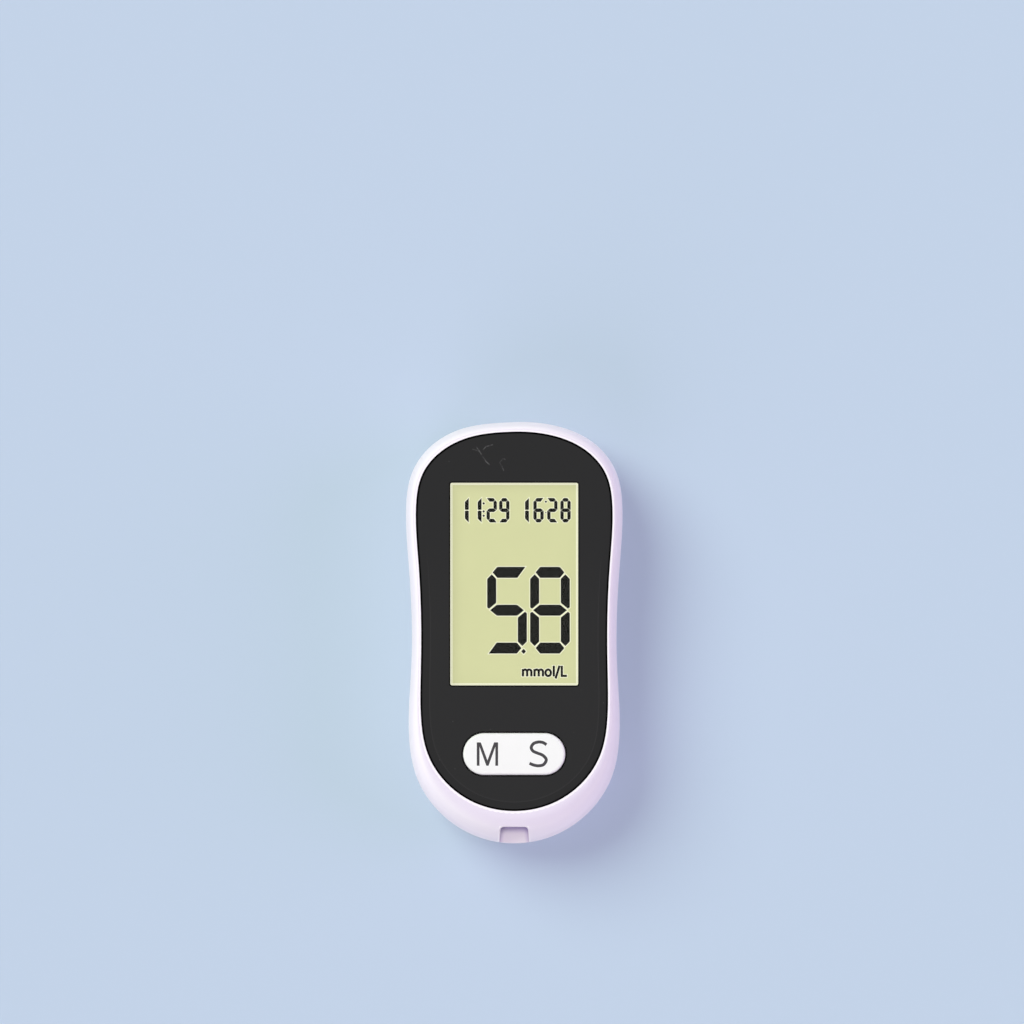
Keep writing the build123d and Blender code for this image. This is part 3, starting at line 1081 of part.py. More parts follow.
# ---------------------------------------------------------------- the whole meter
PARTS = {
    "front_cover": front_cover,
    "rear_cover": rear_cover,
    "battery_door": battery_door,
    "door_latch": door_latch,
    "rear_label": rear_label,
    "front_panel": front_panel,
    "display_window": display_window,
    "panel_adhesive": panel_adhesive,
    "lcd_front_polariser": lcd_front_polariser,
    "lcd_front_glass": lcd_front_glass,
    "lcd_rear_glass": lcd_rear_glass,
    "lcd_reflector": lcd_reflector,
    "lcd_frame": lcd_frame,
    "zebra_strip": zebra_strip,
    "key_cap": key_cap,
    "rubber_keypad": rubber_keypad,
    "carbon_pills": carbon_pills,
    "circuit_board": circuit_board,
    "microcontroller": microcontroller,
    "analogue_chip": partial(small_chip, ANALOGUE_CHIP_X, ANALOGUE_CHIP_FROM_CONNECTOR),
    "memory_chip": partial(small_chip, MEMORY_CHIP_X, MEMORY_CHIP_FROM_CONNECTOR),
    "crystal": crystal,
    "small_parts": small_parts,
    "thermistor": thermistor,
    "piezo_buzzer": piezo_buzzer,
    "strip_connector": strip_connector,
    "strip_contacts": strip_contacts,
    "battery_bridge": battery_bridge,
    "plus_contact": plus_contact,
    "minus_contact": minus_contact,
    "battery_springs": battery_springs,
    "case_screws": case_screws,
    "board_screws": board_screws,
}

for side_name, side in (("left", -1), ("right", 1)):
    for piece_name, make_piece in (("can", battery_can), ("filling", battery_filling),
                                   ("end_cap", battery_end_cap), ("sleeve", battery_sleeve)):
        PARTS[f"battery_{piece_name}_{side_name}"] = partial(make_piece, side)

os.makedirs("parts", exist_ok=True)
for name, make in PARTS.items():
    shape = make()
    if isinstance(shape, list):
        shape = Compound(children=shape)
    export_step(shape, f"parts/{name}.step")
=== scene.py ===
"""Looks of a handheld blood glucose meter: finishes, display, lettering, floor and light.

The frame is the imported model's: +Z up out of the display, +Y along the meter away from the
strip slot, +X to the right of someone reading the display. Lengths are in millimetres and are
turned into metres where a mesh, a lamp or the camera is made.
"""

import functools
import math

import bpy
import numpy as np
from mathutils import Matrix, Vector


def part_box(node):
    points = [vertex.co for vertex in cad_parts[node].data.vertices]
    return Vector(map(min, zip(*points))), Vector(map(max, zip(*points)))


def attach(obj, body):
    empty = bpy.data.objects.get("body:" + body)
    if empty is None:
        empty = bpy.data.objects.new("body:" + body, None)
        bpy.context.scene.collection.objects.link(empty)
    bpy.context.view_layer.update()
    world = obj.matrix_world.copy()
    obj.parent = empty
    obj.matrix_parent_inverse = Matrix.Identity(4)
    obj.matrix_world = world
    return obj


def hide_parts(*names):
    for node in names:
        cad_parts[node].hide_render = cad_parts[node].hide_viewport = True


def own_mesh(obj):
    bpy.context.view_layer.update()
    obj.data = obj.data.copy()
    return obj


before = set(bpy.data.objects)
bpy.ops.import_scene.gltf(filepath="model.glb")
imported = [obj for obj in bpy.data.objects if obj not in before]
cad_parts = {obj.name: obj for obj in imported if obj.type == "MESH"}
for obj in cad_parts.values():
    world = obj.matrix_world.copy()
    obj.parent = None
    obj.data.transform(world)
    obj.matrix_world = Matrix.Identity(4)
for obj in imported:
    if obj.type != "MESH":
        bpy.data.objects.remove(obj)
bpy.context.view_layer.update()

MM = 0.001


def box_mm(node):
    """Lowest and highest corner of a node, in millimetres."""
    low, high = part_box(node)
    return np.array(low) / MM, np.array(high) / MM


def srgb(red, green, blue):
    """Linear colour of an 8-bit display colour."""
    share = np.array([red, green, blue]) / 255
    linear = np.where(share <= 0.04045, share / 12.92, ((share + 0.055) / 1.055) ** 2.4)
    return tuple(float(c) for c in linear)


def shade(colour, share):
    """The colour made darker or lighter by a factor, up to white."""
    return tuple(min(c * share, 1.0) for c in colour)


# ================================================================ places
case_low = box_mm("front_cover")[0]
panel_top = float(box_mm("front_panel")[1][2])
film_low, film_high = box_mm("lcd_front_polariser")
key_low, key_high = box_mm("key_cap")
label_low, label_high = box_mm("rear_label")
door_low = box_mm("battery_door")[0]

POLARISER_MARGIN = 0.9         # film hidden behind the panel, on each side of the view
VIEW_CORNER = 0.45             # radius of the view's corners
view_low = film_low + POLARISER_MARGIN
view_high = film_high - POLARISER_MARGIN
view_centre = (view_low + view_high)[:2] / 2
view_half = (view_high - view_low)[:2] / 2
key_centre = (key_low + key_high)[:2] / 2
KEY_FACE_HALF = (12.1, 4.95)   # half the length and half the width of what shows of the key
KEY_GAP = 0.3                  # between the key and the edge of its hole


# ================================================================ finishes: the tools
class Field:
    """A number that varies over a surface: a node's output, with operators."""

    def __init__(self, nodes, socket):
        self.nodes, self.socket = nodes, socket

    def maths(self, operation, *values, clamp=False):
        settings = {"operation": operation, "use_clamp": clamp}
        return self.nodes.node("ShaderNodeMath", settings, dict(enumerate(values)))

    def __add__(self, other):
        return self.maths("ADD", self, other)

    def __sub__(self, other):
        return self.maths("SUBTRACT", self, other)

    def __rsub__(self, other):
        return self.maths("SUBTRACT", other, self)

    def __mul__(self, other):
        return self.maths("MULTIPLY", self, other)

    def __truediv__(self, other):
        return self.maths("DIVIDE", self, other)

    def __pow__(self, other):
        return self.maths("POWER", self, other)

    def __abs__(self):
        return self.maths("ABSOLUTE", self)

    __radd__ = __add__
    __rmul__ = __mul__

    def least(self, other):
        return self.maths("MINIMUM", self, other)

    def most(self, other):
        return self.maths("MAXIMUM", self, other)

    def clamped(self):
        return self.maths("ADD", self, 0.0, clamp=True)

    def repeated(self, period):
        """Distance to the nearest multiple of the period."""
        return self.maths("PINGPONG", self, period / 2)

    def rising(self, low, high):
        """0 up to low, 1 from high on, smooth between; it falls where low is the greater."""
        return self.nodes.node("ShaderNodeMapRange", {"interpolation_type": "SMOOTHSTEP"},
                               {"Value": self, "From Min": low, "From Max": high})

    def within(self, half_width, softness):
        """1 where the value is nearer to 0 than the half-width."""
        return 1 - abs(self).rising(half_width - softness / 2, half_width + softness / 2)


class Nodes:
    """A node tree that is written as expressions."""

    def __init__(self, tree):
        self.tree = tree

    def feed(self, socket, value):
        """Links a field to a socket, or gives the socket a fixed value."""
        if isinstance(value, Field):
            self.tree.links.new(value.socket, socket)
        elif socket.type == "RGBA" and len(value) == 3:
            socket.default_value = (*value, 1)
        else:
            socket.default_value = value

    def node(self, kind, settings=None, inputs=None, output=0):
        """Adds a node: its settings first, then the values or links of its sockets."""
        node = self.tree.nodes.new(kind)
        for key, value in (settings or {}).items():
            setattr(node, key, value)
        for key, value in (inputs or {}).items():
            self.feed(node.inputs[key], value)
        return Field(self, node.outputs[output])


class Finish(Nodes):
    """One material: a principled shader, and what varies over the surface.

    Places are object coordinates in millimetres, as the field x, y or z or the vector place.
    """

    def __init__(self, name, colour, roughness, **constants):
        self.material = bpy.data.materials.get(name) or bpy.data.materials.new(name)
        self.material.use_nodes = True
        super().__init__(self.material.node_tree)
        self.tree.nodes.clear()
        self.shader = self.tree.nodes.new("ShaderNodeBsdfPrincipled")
        self.output = self.tree.nodes.new("ShaderNodeOutputMaterial")
        self.tree.links.new(self.shader.outputs[0], self.output.inputs["Surface"])
        self.set(Base_Color=colour, Roughness=roughness, **constants)
        metres = self.node("ShaderNodeTexCoord", output="Object")
        self.place = self.node("ShaderNodeVectorMath", {"operation": "SCALE"},
                               {0: metres, "Scale": 1 / MM})
        self.x, self.y, self.z = (
            self.node("ShaderNodeSeparateXYZ", inputs={0: self.place}, output=axis)
            for axis in "XYZ")

    def set(self, **sockets):
        """Sets or links sockets of the shader; _ in a name stands for a space."""
        for key, value in sockets.items():
            self.feed(self.shader.inputs[key.replace("_", " ")], value)

    def see_through(self, share):
        """Lets light straight through the surface where the share is 1."""
        solid = Field(self, self.shader.outputs[0])
        clear = self.node("ShaderNodeBsdfTransparent")
        mixed = self.node("ShaderNodeMixShader", None, {0: share, 1: solid, 2: clear})
        self.feed(self.output.inputs["Surface"], mixed)

    def noise(self, scale, detail=2.0, place=None, roughness=0.5):
        """Smooth noise around 0.5, with this many waves per millimetre."""
        return self.node("ShaderNodeTexNoise", None,
                         {"Vector": place or self.place, "Scale": scale, "Detail": detail,
                          "Roughness": roughness})

    def cells(self, scale):
        """Distance to the nearest of scattered points, about this many per millimetre."""
        return self.node("ShaderNodeTexVoronoi", None, {"Vector": self.place, "Scale": scale},
                         output="Distance")

    def turned(self, angle, stretch):
        """The place turned about Z, in degrees, then stretched along each axis."""
        return self.node("ShaderNodeMapping", {"vector_type": "TEXTURE"},
                         {"Vector": self.place, "Rotation": (0.0, 0.0, math.radians(angle)),
                          "Scale": tuple(1 / s for s in stretch)})

    def blend(self, share, first, second):
        """Colour from the first, where share is 0, to the second, where it is 1."""
        return self.node("ShaderNodeMix", {"data_type": "RGBA"},
                         {0: share, 6: first, 7: second}, output=2)

    def relief(self, height, depth, edge_round=0.0):
        """Bump: a height from 0 to 1 stands for this many millimetres. Sharp edges may also
        shade as if rounded by a radius."""
        inputs = {"Height": height, "Distance": depth * MM}
        if edge_round:
            inputs["Normal"] = self.node("ShaderNodeBevel", {"samples": 6},
                                         {"Radius": edge_round * MM})
        self.set(Normal=self.node("ShaderNodeBump", None, inputs))

    def from_box(self, centre, half, corner):
        """Distance outside a rounded rectangle, negative inside."""
        beyond_x = abs(self.x - float(centre[0])) - float(half[0] - corner)
        beyond_y = abs(self.y - float(centre[1])) - float(half[1] - corner)
        outside = (beyond_x.most(0.0) ** 2 + beyond_y.most(0.0) ** 2) ** 0.5
        return outside + beyond_x.most(beyond_y).least(0.0) - corner

    def from_line(self, start, end):
        """Distance to a straight stroke between two points."""
        run = np.subtract(end, start).astype(float)
        along_x = self.x - float(start[0])
        along_y = self.y - float(start[1])
        share = ((along_x * run[0] + along_y * run[1]) / float(run @ run)).clamped()
        return ((along_x - share * run[0]) ** 2 + (along_y - share * run[1]) ** 2) ** 0.5

    def from_paths(self, paths):
        """Distance to the nearest of some paths, each of straight strokes between its points."""
        strokes = [self.from_line(*ends) for path in paths for ends in zip(path, path[1:])]
        return functools.reduce(Field.least, strokes)


# ================================================================ finishes: the outside
LILAC_WHITE = (0.895, 0.862, 0.935)
HIGHLIGHT_WHITE = (0.97, 0.95, 0.99)
PAINTED_SHADE_LILAC = (0.62, 0.53, 0.73)   # painted shade, laid where the top is level and where it turns into the wall
NOTCH_SHADE = (0.31, 0.22, 0.54)      # painted shade on the notch's floor at its back wall
NOTCH_PALE = (0.99, 0.93, 1.0)        # the notch's floor at the strip end, where the painted shade fades out
PANEL_BLACK = (0.0065, 0.0065, 0.007)
# the panel's darker outer edge, and the painted shadow in the gaps round the window and the key
DARK_EDGE_AND_GAP_SHADE = (0.001, 0.001, 0.001)
# dust and scratches, and the painted highlight along the panel's crease
DUST_AND_HIGHLIGHT_GREY = srgb(190, 190, 190)
KEY_WHITE = (0.875, 0.895, 0.875)
KEY_LOW_GREY = (0.55, 0.54, 0.52)
DISPLAY_GREEN = srgb(221, 223, 171)
DISPLAY_PALE = srgb(255, 255, 226)
SEGMENT_DARK = srgb(24, 25, 22)
LETTER_GREY = srgb(76, 75, 77)
LABEL_WHITES = (0.84, 0.84, 0.85), (0.89, 0.89, 0.90)
LABEL_INK = (0.35, 0.36, 0.38)

SHELL_EDGE_ROUND = 0.12        # the shell's sharp edges shade as if rounded by this radius
LIP_Z = 19.5                   # flat rim of the case round the panel
SHOULDER_UPRIGHT = 0.27        # how upright the normal is in the middle of the shoulder's band of painted shade
NOTCH_BACK_Y = -46.15          # foot of the notch's back wall
NOTCH_BACK_HALF_WIDTH = 3.15
NOTCH_FLARE = 0.117            # widening towards the strip end, each side, per millimetre
NOTCH_FLOOR_Z = 11.2
NOTCH_EDGE_HALF_WIDTH = 0.2    # of the painted highlight along the notch's edge
PANEL_SLOPE = 0.5              # fall of the panel's border
CREASE_FALL = 0.035            # the painted highlight along the border's crease runs this far below the panel's top
SCRATCH_HALF_WIDTH, SCRATCH_SOFTNESS = 0.12, 0.2
PANEL_SCRATCHES = (((-9.8, 43.5), (-8.2, 42.95), (-6.6, 40.5), (-5.9, 39.9)),
                   ((-8.9, 44.0), (-8.2, 42.95)),
                   ((-7.4, 43.4), (-6.7, 44.15), (-5.1, 44.6)),
                   ((-2.2, 41.1), (-2.7, 41.3), (-3.4, 40.4), (-2.5, 38.5)))
WINDOW_IOR = 1.2               # as low as an anti-reflection coating makes a pane's glare
DISPLAY_GLOW = 0.75               # painted glow: share of the display's brightness that it gives off itself, evening out the panel's shadow on it
LABEL_MARGIN = 1.2             # from the label's edge to its frame, and on to its rows
LABEL_ROW_PITCH = 3.2


def front_shading(finish, colour):
    """The front cover's painted light and shade over its colour: painted shade where its top is
    level and where it turns into the wall, painted highlights on the rim round the panel and
    along the notch's edge, and painted shade on the notch's floor, dark at the back wall and
    paler towards the strip end."""
    normal = finish.node("ShaderNodeTexCoord", output="Normal")
    upright = finish.node("ShaderNodeSeparateXYZ", output="Z", inputs={0: normal})
    # painted shade: the colour darkens towards lilac on the shoulder's band and on the level top, by
    # how the surface faces
    shoulder = (upright - SHOULDER_UPRIGHT).within(0.09, 0.14) * 0.09
    level = upright.rising(0.7, 0.98) * 0.32
    colour = finish.blend(shoulder + level, colour, PAINTED_SHADE_LILAC)
    # painted highlight: a pale line on the flat rim round the panel
    rim = finish.z.rising(LIP_Z - 0.008, LIP_Z - 0.004)
    colour = finish.blend(rim, colour, HIGHLIGHT_WHITE)

    side = abs(finish.x) - NOTCH_BACK_HALF_WIDTH - NOTCH_FLARE * (NOTCH_BACK_Y - finish.y)
    outside = side.most(finish.y - NOTCH_BACK_Y)
    on_top = finish.z.rising(NOTCH_FLOOR_Z + 0.3, NOTCH_FLOOR_Z + 0.6)
    near = finish.y.rising(NOTCH_BACK_Y + 0.9, NOTCH_BACK_Y + 0.6)
    # painted highlight: a pale line along the notch's top edge
    edge = (outside - NOTCH_EDGE_HALF_WIDTH).within(NOTCH_EDGE_HALF_WIDTH, 0.12) * on_top
    colour = finish.blend(edge * near, colour, HIGHLIGHT_WHITE)
    # painted shade: the notch's floor is darkest at the back wall and pales towards the strip end
    outwards = (NOTCH_BACK_Y - finish.y).rising(-0.7, 1.8)
    paleness = outwards * (1 - 0.4 * (side + 1.2).rising(0.0, 1.4))
    floor = finish.blend(paleness, NOTCH_SHADE, NOTCH_PALE)
    on_floor = near * (1 - on_top) * (1 - side.rising(0.05, 0.15))
    return finish.blend(on_floor, colour, floor)


def shell_finish(name, roughness, grain, grain_depth, shading=None):
    """Moulded shell: pale lilac white, a spark-eroded grain and faint rubbed patches."""
    finish = Finish(name, LILAC_WHITE, roughness, IOR=1.5)
    clouds = finish.noise(0.06, 3)
    rubbed = finish.noise(0.05, 2).rising(0.35, 0.75)
    colour = finish.blend(clouds, shade(LILAC_WHITE, 0.965), shade(LILAC_WHITE, 1.02))
    if shading:
        colour = shading(finish, colour)
    finish.set(Base_Color=colour, Roughness=roughness + 0.05 * clouds - 0.04 * rubbed)
    finish.relief(finish.noise(grain, 3, roughness=0.6), grain_depth, SHELL_EDGE_ROUND)
    return finish


def panel_finish():
    """Gloss black panel: a darker line at its outer edge, painted shadow in the gaps round the
    window and the key, a painted highlight along its border's crease, fine scratches and dust.
    """
    finish = Finish("panel_plastic", PANEL_BLACK, 0.16, Specular_IOR_Level=0.30)
    below_top = panel_top - finish.z
    rim = below_top.rising(PANEL_SLOPE - 0.10, PANEL_SLOPE - 0.07)
    # painted highlight: a faint pale line along the crease of the panel's border, on its lower half
    crease_highlight = (below_top - CREASE_FALL).within(0.03, 0.03) * (1 - finish.y.rising(0.0, 25.0))
    # painted shadow: dark lines in the gaps round the window and the key, joined with the darker
    # outer edge
    view_gap_shadow = finish.from_box(view_centre, view_half, VIEW_CORNER).within(0.30, 0.2)
    from_key = finish.from_box(key_centre, KEY_FACE_HALF, KEY_FACE_HALF[1] - 0.01)
    key_gap_shadow = from_key.within(KEY_GAP + 0.1, 0.08)
    edges = rim.most(view_gap_shadow).most(key_gap_shadow)
    wipes = finish.noise(3.0, 2, finish.turned(63, (0.04, 1.0, 1.0))).rising(0.62, 0.78)
    cross_wipes = finish.noise(3.4, 2, finish.turned(-28, (0.05, 1.0, 1.0))).rising(0.64, 0.8)
    patches = finish.noise(0.05, 2)
    scored = finish.from_paths(PANEL_SCRATCHES).within(SCRATCH_HALF_WIDTH, SCRATCH_SOFTNESS)
    scored = scored * finish.noise(0.9, 2).rising(0.3, 0.75)
    dust = finish.cells(0.3).within(0.03, 0.03)
    colour = finish.blend(edges, PANEL_BLACK, DARK_EDGE_AND_GAP_SHADE)
    # real scratches and dust, together with the painted highlight along the crease
    marks = (scored * 0.16 + dust * 0.08 + crease_highlight * 0.015).clamped()
    finish.set(Base_Color=finish.blend(marks, colour, DUST_AND_HIGHLIGHT_GREY), Metallic=edges,
               Roughness=0.13 + 0.08 * patches + 0.07 * wipes + 0.05 * cross_wipes + 0.2 * scored)
    finish.relief(finish.noise(0.35, 2) - 0.2 * scored, 0.006)
    return finish


def key_finish():
    """Matte white key: a fine even grain, and darker low on its side, up to just above the panel's
    top.
    """
    finish = Finish("key_plastic", KEY_WHITE, 0.5, IOR=1.46)
    clouds = finish.noise(0.3, 3)
    clean = finish.blend(clouds, KEY_WHITE, shade(KEY_WHITE, 1.03))
    # darker low on the key's side, up to just above the panel's top
    low = 1 - finish.z.rising(panel_top - 0.4, panel_top + 0.25)
    finish.set(Base_Color=finish.blend(low * 0.5, clean, KEY_LOW_GREY),
               Roughness=0.46 + 0.1 * clouds)
    finish.relief(finish.noise(4.0, 3), 0.004)
    return finish


def window_finish():
    """Clear polished pane: glass that lets light straight through to the display."""
    finish = Finish("window_clear", (1.0, 1.0, 1.0), 0.02, IOR=WINDOW_IOR, Transmission_Weight=1.0)
    smudges = finish.noise(0.12, 4, roughness=0.6).rising(0.5, 0.72)
    finish.set(Roughness=0.01 + 0.02 * smudges)
    finish.see_through(finish.node("ShaderNodeLightPath", output="Is Shadow Ray"))
    return finish


def display_finish():
    """Anti-glare film over the display, with a painted glow: even yellowish green grey, barely
    mottled.
    """
    finish = Finish("lcd_face", DISPLAY_GREEN, 0.6, Specular_IOR_Level=0.0,
                    Emission_Strength=DISPLAY_GLOW)
    mottle = finish.noise(0.12, 4)
    shades = [shade(DISPLAY_GREEN, share) for share in (0.97, 1.02)]
    finish.set(Base_Color=finish.blend(mottle, *(shade(lit, 1 - DISPLAY_GLOW) for lit in shades)),
               Emission_Color=finish.blend(mottle, *shades),
               Roughness=0.55 + 0.1 * finish.noise(3.0))
    return finish


def print_finish(name, colour, roughness, glow=0.0):
    """Printed or etched mark: one colour, with a grain that only shows close up."""
    finish = Finish(name, colour, roughness, Specular_IOR_Level=0.0, Emission_Strength=glow,
                    Emission_Color=colour)
    grain = finish.noise(2.5, 3)
    shades = [shade(shade(colour, share), 1 - glow) for share in (0.92, 1.08)]
    finish.set(Base_Color=finish.blend(grain, *shades), Roughness=roughness + 0.1 * grain)
    return finish


def label_finish():
    """Blank rating label: white coated paper with a thin printed frame and empty rows."""
    finish = Finish("label_paper", (0.86, 0.86, 0.87), 0.55)
    centre = (label_low + label_high)[:2] / 2
    half = (label_high - label_low)[:2] / 2
    outline = finish.from_box(centre, half - LABEL_MARGIN, 0.8).within(0.1, 0.05)
    rows = (finish.y - float(centre[1])).repeated(LABEL_ROW_PITCH).within(0.06, 0.05)
    inside = 1 - finish.from_box(centre, half - 2 * LABEL_MARGIN, 0.2).rising(-0.02, 0.02)
    ink = outline.most(rows * inside)
    fibres = finish.noise(1.6, 4)
    finish.set(Base_Color=finish.blend(ink, finish.blend(fibres, *LABEL_WHITES), LABEL_INK),
               Roughness=0.5 + 0.12 * fibres)
    finish.relief(fibres, 0.006)
    return finish


# ================================================================ finishes: the inside
HAIR_WAVES = 6.0               # hair lines of drawn metal per millimetre
TRACK_PITCH, RING_PITCH = 1.3, 3.9    # copper tracks and plated rings on the board
LAYER_PITCH = 0.2              # layers of the conductive rubber strip
JACKET_BLUE, JACKET_PALE = (0.04, 0.13, 0.36), (0.62, 0.63, 0.64)
JACKET_BAND, JACKET_LINE = 6.0, 9.2   # from the cell's raised end to a wide and a thin pale band


def plain_finish(name, colour, roughness, spread=0.06, waves=0.8, depth=0.004, **constants):
    """Small moulded or cast part: a little lighter and darker, with a fine grain."""
    finish = Finish(name, colour, roughness, **constants)
    clouds = finish.noise(waves, 4)
    finish.set(Base_Color=finish.blend(clouds, shade(colour, 1 - spread), shade(colour, 1 + spread)),
               Roughness=roughness - 0.05 + 0.1 * clouds)
    finish.relief(finish.noise(waves * 8, 3), depth)
    return finish


def plated_finish(name, colour, roughness, direction):
    """Rolled or drawn plated metal: hair lines along one direction and duller patches."""
    finish = Finish(name, colour, roughness, Metallic=1.0)
    hairs = finish.noise(HAIR_WAVES, 2, finish.turned(direction, (0.06, 1.0, 1.0)))
    dull = finish.noise(0.5, 4).rising(0.5, 0.75)
    finish.set(Base_Color=finish.blend(dull, colour, shade(colour, 0.8)),
               Roughness=roughness + 0.1 * hairs + 0.12 * dull)
    finish.relief(hairs, 0.002)
    return finish


def board_finish():
    """Green solder mask over copper tracks on a square grid, with plated rings."""
    finish = Finish("board_laminate", (0.015, 0.16, 0.06), 0.3)
    parted = finish.noise(0.12, 0).rising(0.5, 0.51)
    lengthways = finish.x.repeated(TRACK_PITCH).within(0.14, 0.04) * parted
    crossways = finish.y.repeated(TRACK_PITCH).within(0.14, 0.04) * (1 - parted)
    tracks = lengthways.most(crossways)
    from_ring = (finish.x.repeated(RING_PITCH) ** 2 + finish.y.repeated(RING_PITCH) ** 2) ** 0.5
    rings = (from_ring - 0.3).within(0.12, 0.05) * finish.noise(0.07, 0).rising(0.5, 0.52)
    mask = finish.blend(tracks, (0.012, 0.14, 0.05), (0.03, 0.26, 0.10))
    finish.set(Base_Color=finish.blend(rings, mask, (0.72, 0.70, 0.62)), Metallic=rings,
               Roughness=0.28 + 0.1 * finish.noise(1.5, 3))
    finish.relief(tracks + rings, 0.02)
    return finish


def zebra_finish():
    """Conductive rubber strip: thin black layers between clear ones, stacked along X."""
    finish = Finish("zebra_rubber", (0.12, 0.12, 0.13), 0.6)
    layers = finish.x.repeated(LAYER_PITCH).within(0.05, 0.02)
    finish.set(Base_Color=finish.blend(layers, (0.30, 0.29, 0.28), (0.02, 0.02, 0.02)),
               Roughness=0.55 + 0.1 * finish.noise(2.0))
    finish.relief(layers, 0.01)
    return finish


def small_part_finish():
    """Chip capacitors and resistors: fired ceramic bodies, some buff and some black."""
    finish = Finish("small_part_ceramic", (0.45, 0.33, 0.20), 0.45)
    kinds = finish.noise(0.3, 0).rising(0.49, 0.51)
    finish.set(Base_Color=finish.blend(kinds, (0.47, 0.35, 0.22), (0.03, 0.03, 0.035)),
               Roughness=0.38 + 0.15 * finish.noise(3.0, 3))
    finish.relief(finish.noise(6.0, 3), 0.004)
    return finish


def jacket_finish(side):
    """Cell's shrunk film: blue, two pale bands near its raised end, fine wrinkles."""
    finish = Finish("battery_jacket_" + side, JACKET_BLUE, 0.28, Coat_Weight=0.4)
    low, high = box_mm("battery_sleeve_" + side)
    nub = high[1] if side == "left" else low[1]
    from_nub = abs(finish.y - float(nub))
    band = (from_nub - JACKET_BAND).within(2.0, 0.1)
    line = (from_nub - JACKET_LINE).within(0.25, 0.08)
    finish.set(Base_Color=finish.blend(band.most(line), JACKET_BLUE, JACKET_PALE),
               Roughness=0.24 + 0.12 * finish.noise(0.8, 4))
    finish.relief(finish.noise(0.5, 4, finish.turned(0, (1.0, 0.2, 1.0))), 0.02)
    return finish


shell_finish("case_plastic", 0.30, grain=5.0, grain_depth=0.002, shading=front_shading)
rear_shell = shell_finish("case_plastic_rear", 0.42, grain=3.0, grain_depth=0.012)
panel_finish()
key_finish()
window_finish()
display_finish()
segment_ink = print_finish("lcd_segment", SEGMENT_DARK, 0.6)
# the pale edges share the display's painted glow
edge_glow = print_finish("lcd_pale_edge", DISPLAY_PALE, 0.6, DISPLAY_GLOW)
letter_ink = print_finish("key_ink", LETTER_GREY, 0.5)
label_finish()
plain_finish("lcd_glass", (0.80, 0.86, 0.70), 0.12, spread=0.02, waves=0.3, depth=0.001)
plain_finish("reflector_film", (0.75, 0.77, 0.55), 0.2, spread=0.03, waves=0.5, depth=0.002,
             Metallic=1.0)
plain_finish("frame_plastic", (0.85, 0.85, 0.83), 0.45)
zebra_finish()
plain_finish("silicone", (0.72, 0.73, 0.75), 0.6, spread=0.04, waves=0.5, depth=0.006)
plain_finish("carbon", (0.02, 0.02, 0.02), 0.8, spread=0.2, waves=3.0, depth=0.01)
plain_finish("adhesive", (0.05, 0.05, 0.05), 0.8, spread=0.2, waves=1.5, depth=0.03)
board_finish()
plain_finish("chip_plastic", (0.03, 0.03, 0.03), 0.55, spread=0.12, waves=2.0, depth=0.008)
plated_finish("crystal_can", (0.75, 0.75, 0.76), 0.16, direction=90)
small_part_finish()
plain_finish("bead_epoxy", (0.10, 0.16, 0.30), 0.15, spread=0.1, waves=1.0, depth=0.004)
plain_finish("connector_plastic", (0.80, 0.78, 0.72), 0.45, spread=0.04, waves=1.0, depth=0.006)
plated_finish("gold_plate", (0.85, 0.65, 0.28), 0.18, direction=90)
plated_finish("nickel_plate", (0.72, 0.71, 0.68), 0.22, direction=0)
plated_finish("battery_steel", (0.66, 0.65, 0.63), 0.25, direction=90)
plain_finish("battery_filling", (0.10, 0.10, 0.10), 0.9, spread=0.3, waves=3.0, depth=0.03)
jackets = {side: jacket_finish(side) for side in ("left", "right")}
plated_finish("screw_steel", (0.60, 0.60, 0.61), 0.28, direction=0)


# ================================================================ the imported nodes
SMOOTH_BELOW = 20.0            # faces that meet at a smaller angle, in degrees, shade as one
WELD_WITHIN = 0.002            # points nearer than this are one


def smooth(piece):
    """Joins the facets of each face into one smooth surface, up to its sharp edges."""
    piece.data.polygons.foreach_set("use_smooth", np.ones(len(piece.data.polygons), bool))
    weld = piece.modifiers.new("weld", "WELD")
    weld.merge_threshold = WELD_WITHIN * MM
    edges = piece.modifiers.new("edges", "EDGE_SPLIT")
    edges.split_angle = math.radians(SMOOTH_BELOW)


def finish_nodes():
    """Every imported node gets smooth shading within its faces; most keep their slot's finish."""
    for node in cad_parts.values():
        smooth(node)
    for name in ("rear_cover", "battery_door", "door_latch"):
        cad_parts[name].data.materials[0] = rear_shell.material
    for side, jacket in jackets.items():
        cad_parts["battery_sleeve_" + side].data.materials[0] = jacket.material


finish_nodes()


def make_soft_keypad():
    """Copies of the silicone mat with its domes, and of the carbon pills in them, ride on the case
    in place of the imported nodes.
    """
    for node, name, slot in (("rubber_keypad", "keypad_skin", "silicone"),
                             ("carbon_pills", "keypad_pills", "carbon")):
        piece = bpy.data.objects.new(name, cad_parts[node].data.copy())
        bpy.context.collection.objects.link(piece)
        smooth(piece)
        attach(piece, "case")
        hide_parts(node)
        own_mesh(piece)


make_soft_keypad()


# ================================================================ meshes: the tools
SUNK = 0.03                    # a printed or raised solid starts this far inside its carrier
INK_RISE = 0.012               # and printed ink stands this far out of it
CURVE_STEPS = 6                # straight steps of a curve from one of its points to the next


def counterclockwise(outline):
    """The outline, turned round if its area comes out negative."""
    outline = np.asarray(outline, float)
    x, y = outline.T
    area = (x * np.roll(y, -1) - y * np.roll(x, -1)).sum()
    return outline if area > 0 else outline[::-1]


def mitres(before, after):
    """At a corner between two edges, the move that shifts both edges outwards by 1."""
    mean = (before + after) / 2
    return mean / (mean * mean).sum(1)[:, None]


def normals(steps):
    """Unit vectors to the right of each step."""
    return np.stack([steps[:, 1], -steps[:, 0]], 1) / np.linalg.norm(steps, axis=1)[:, None]


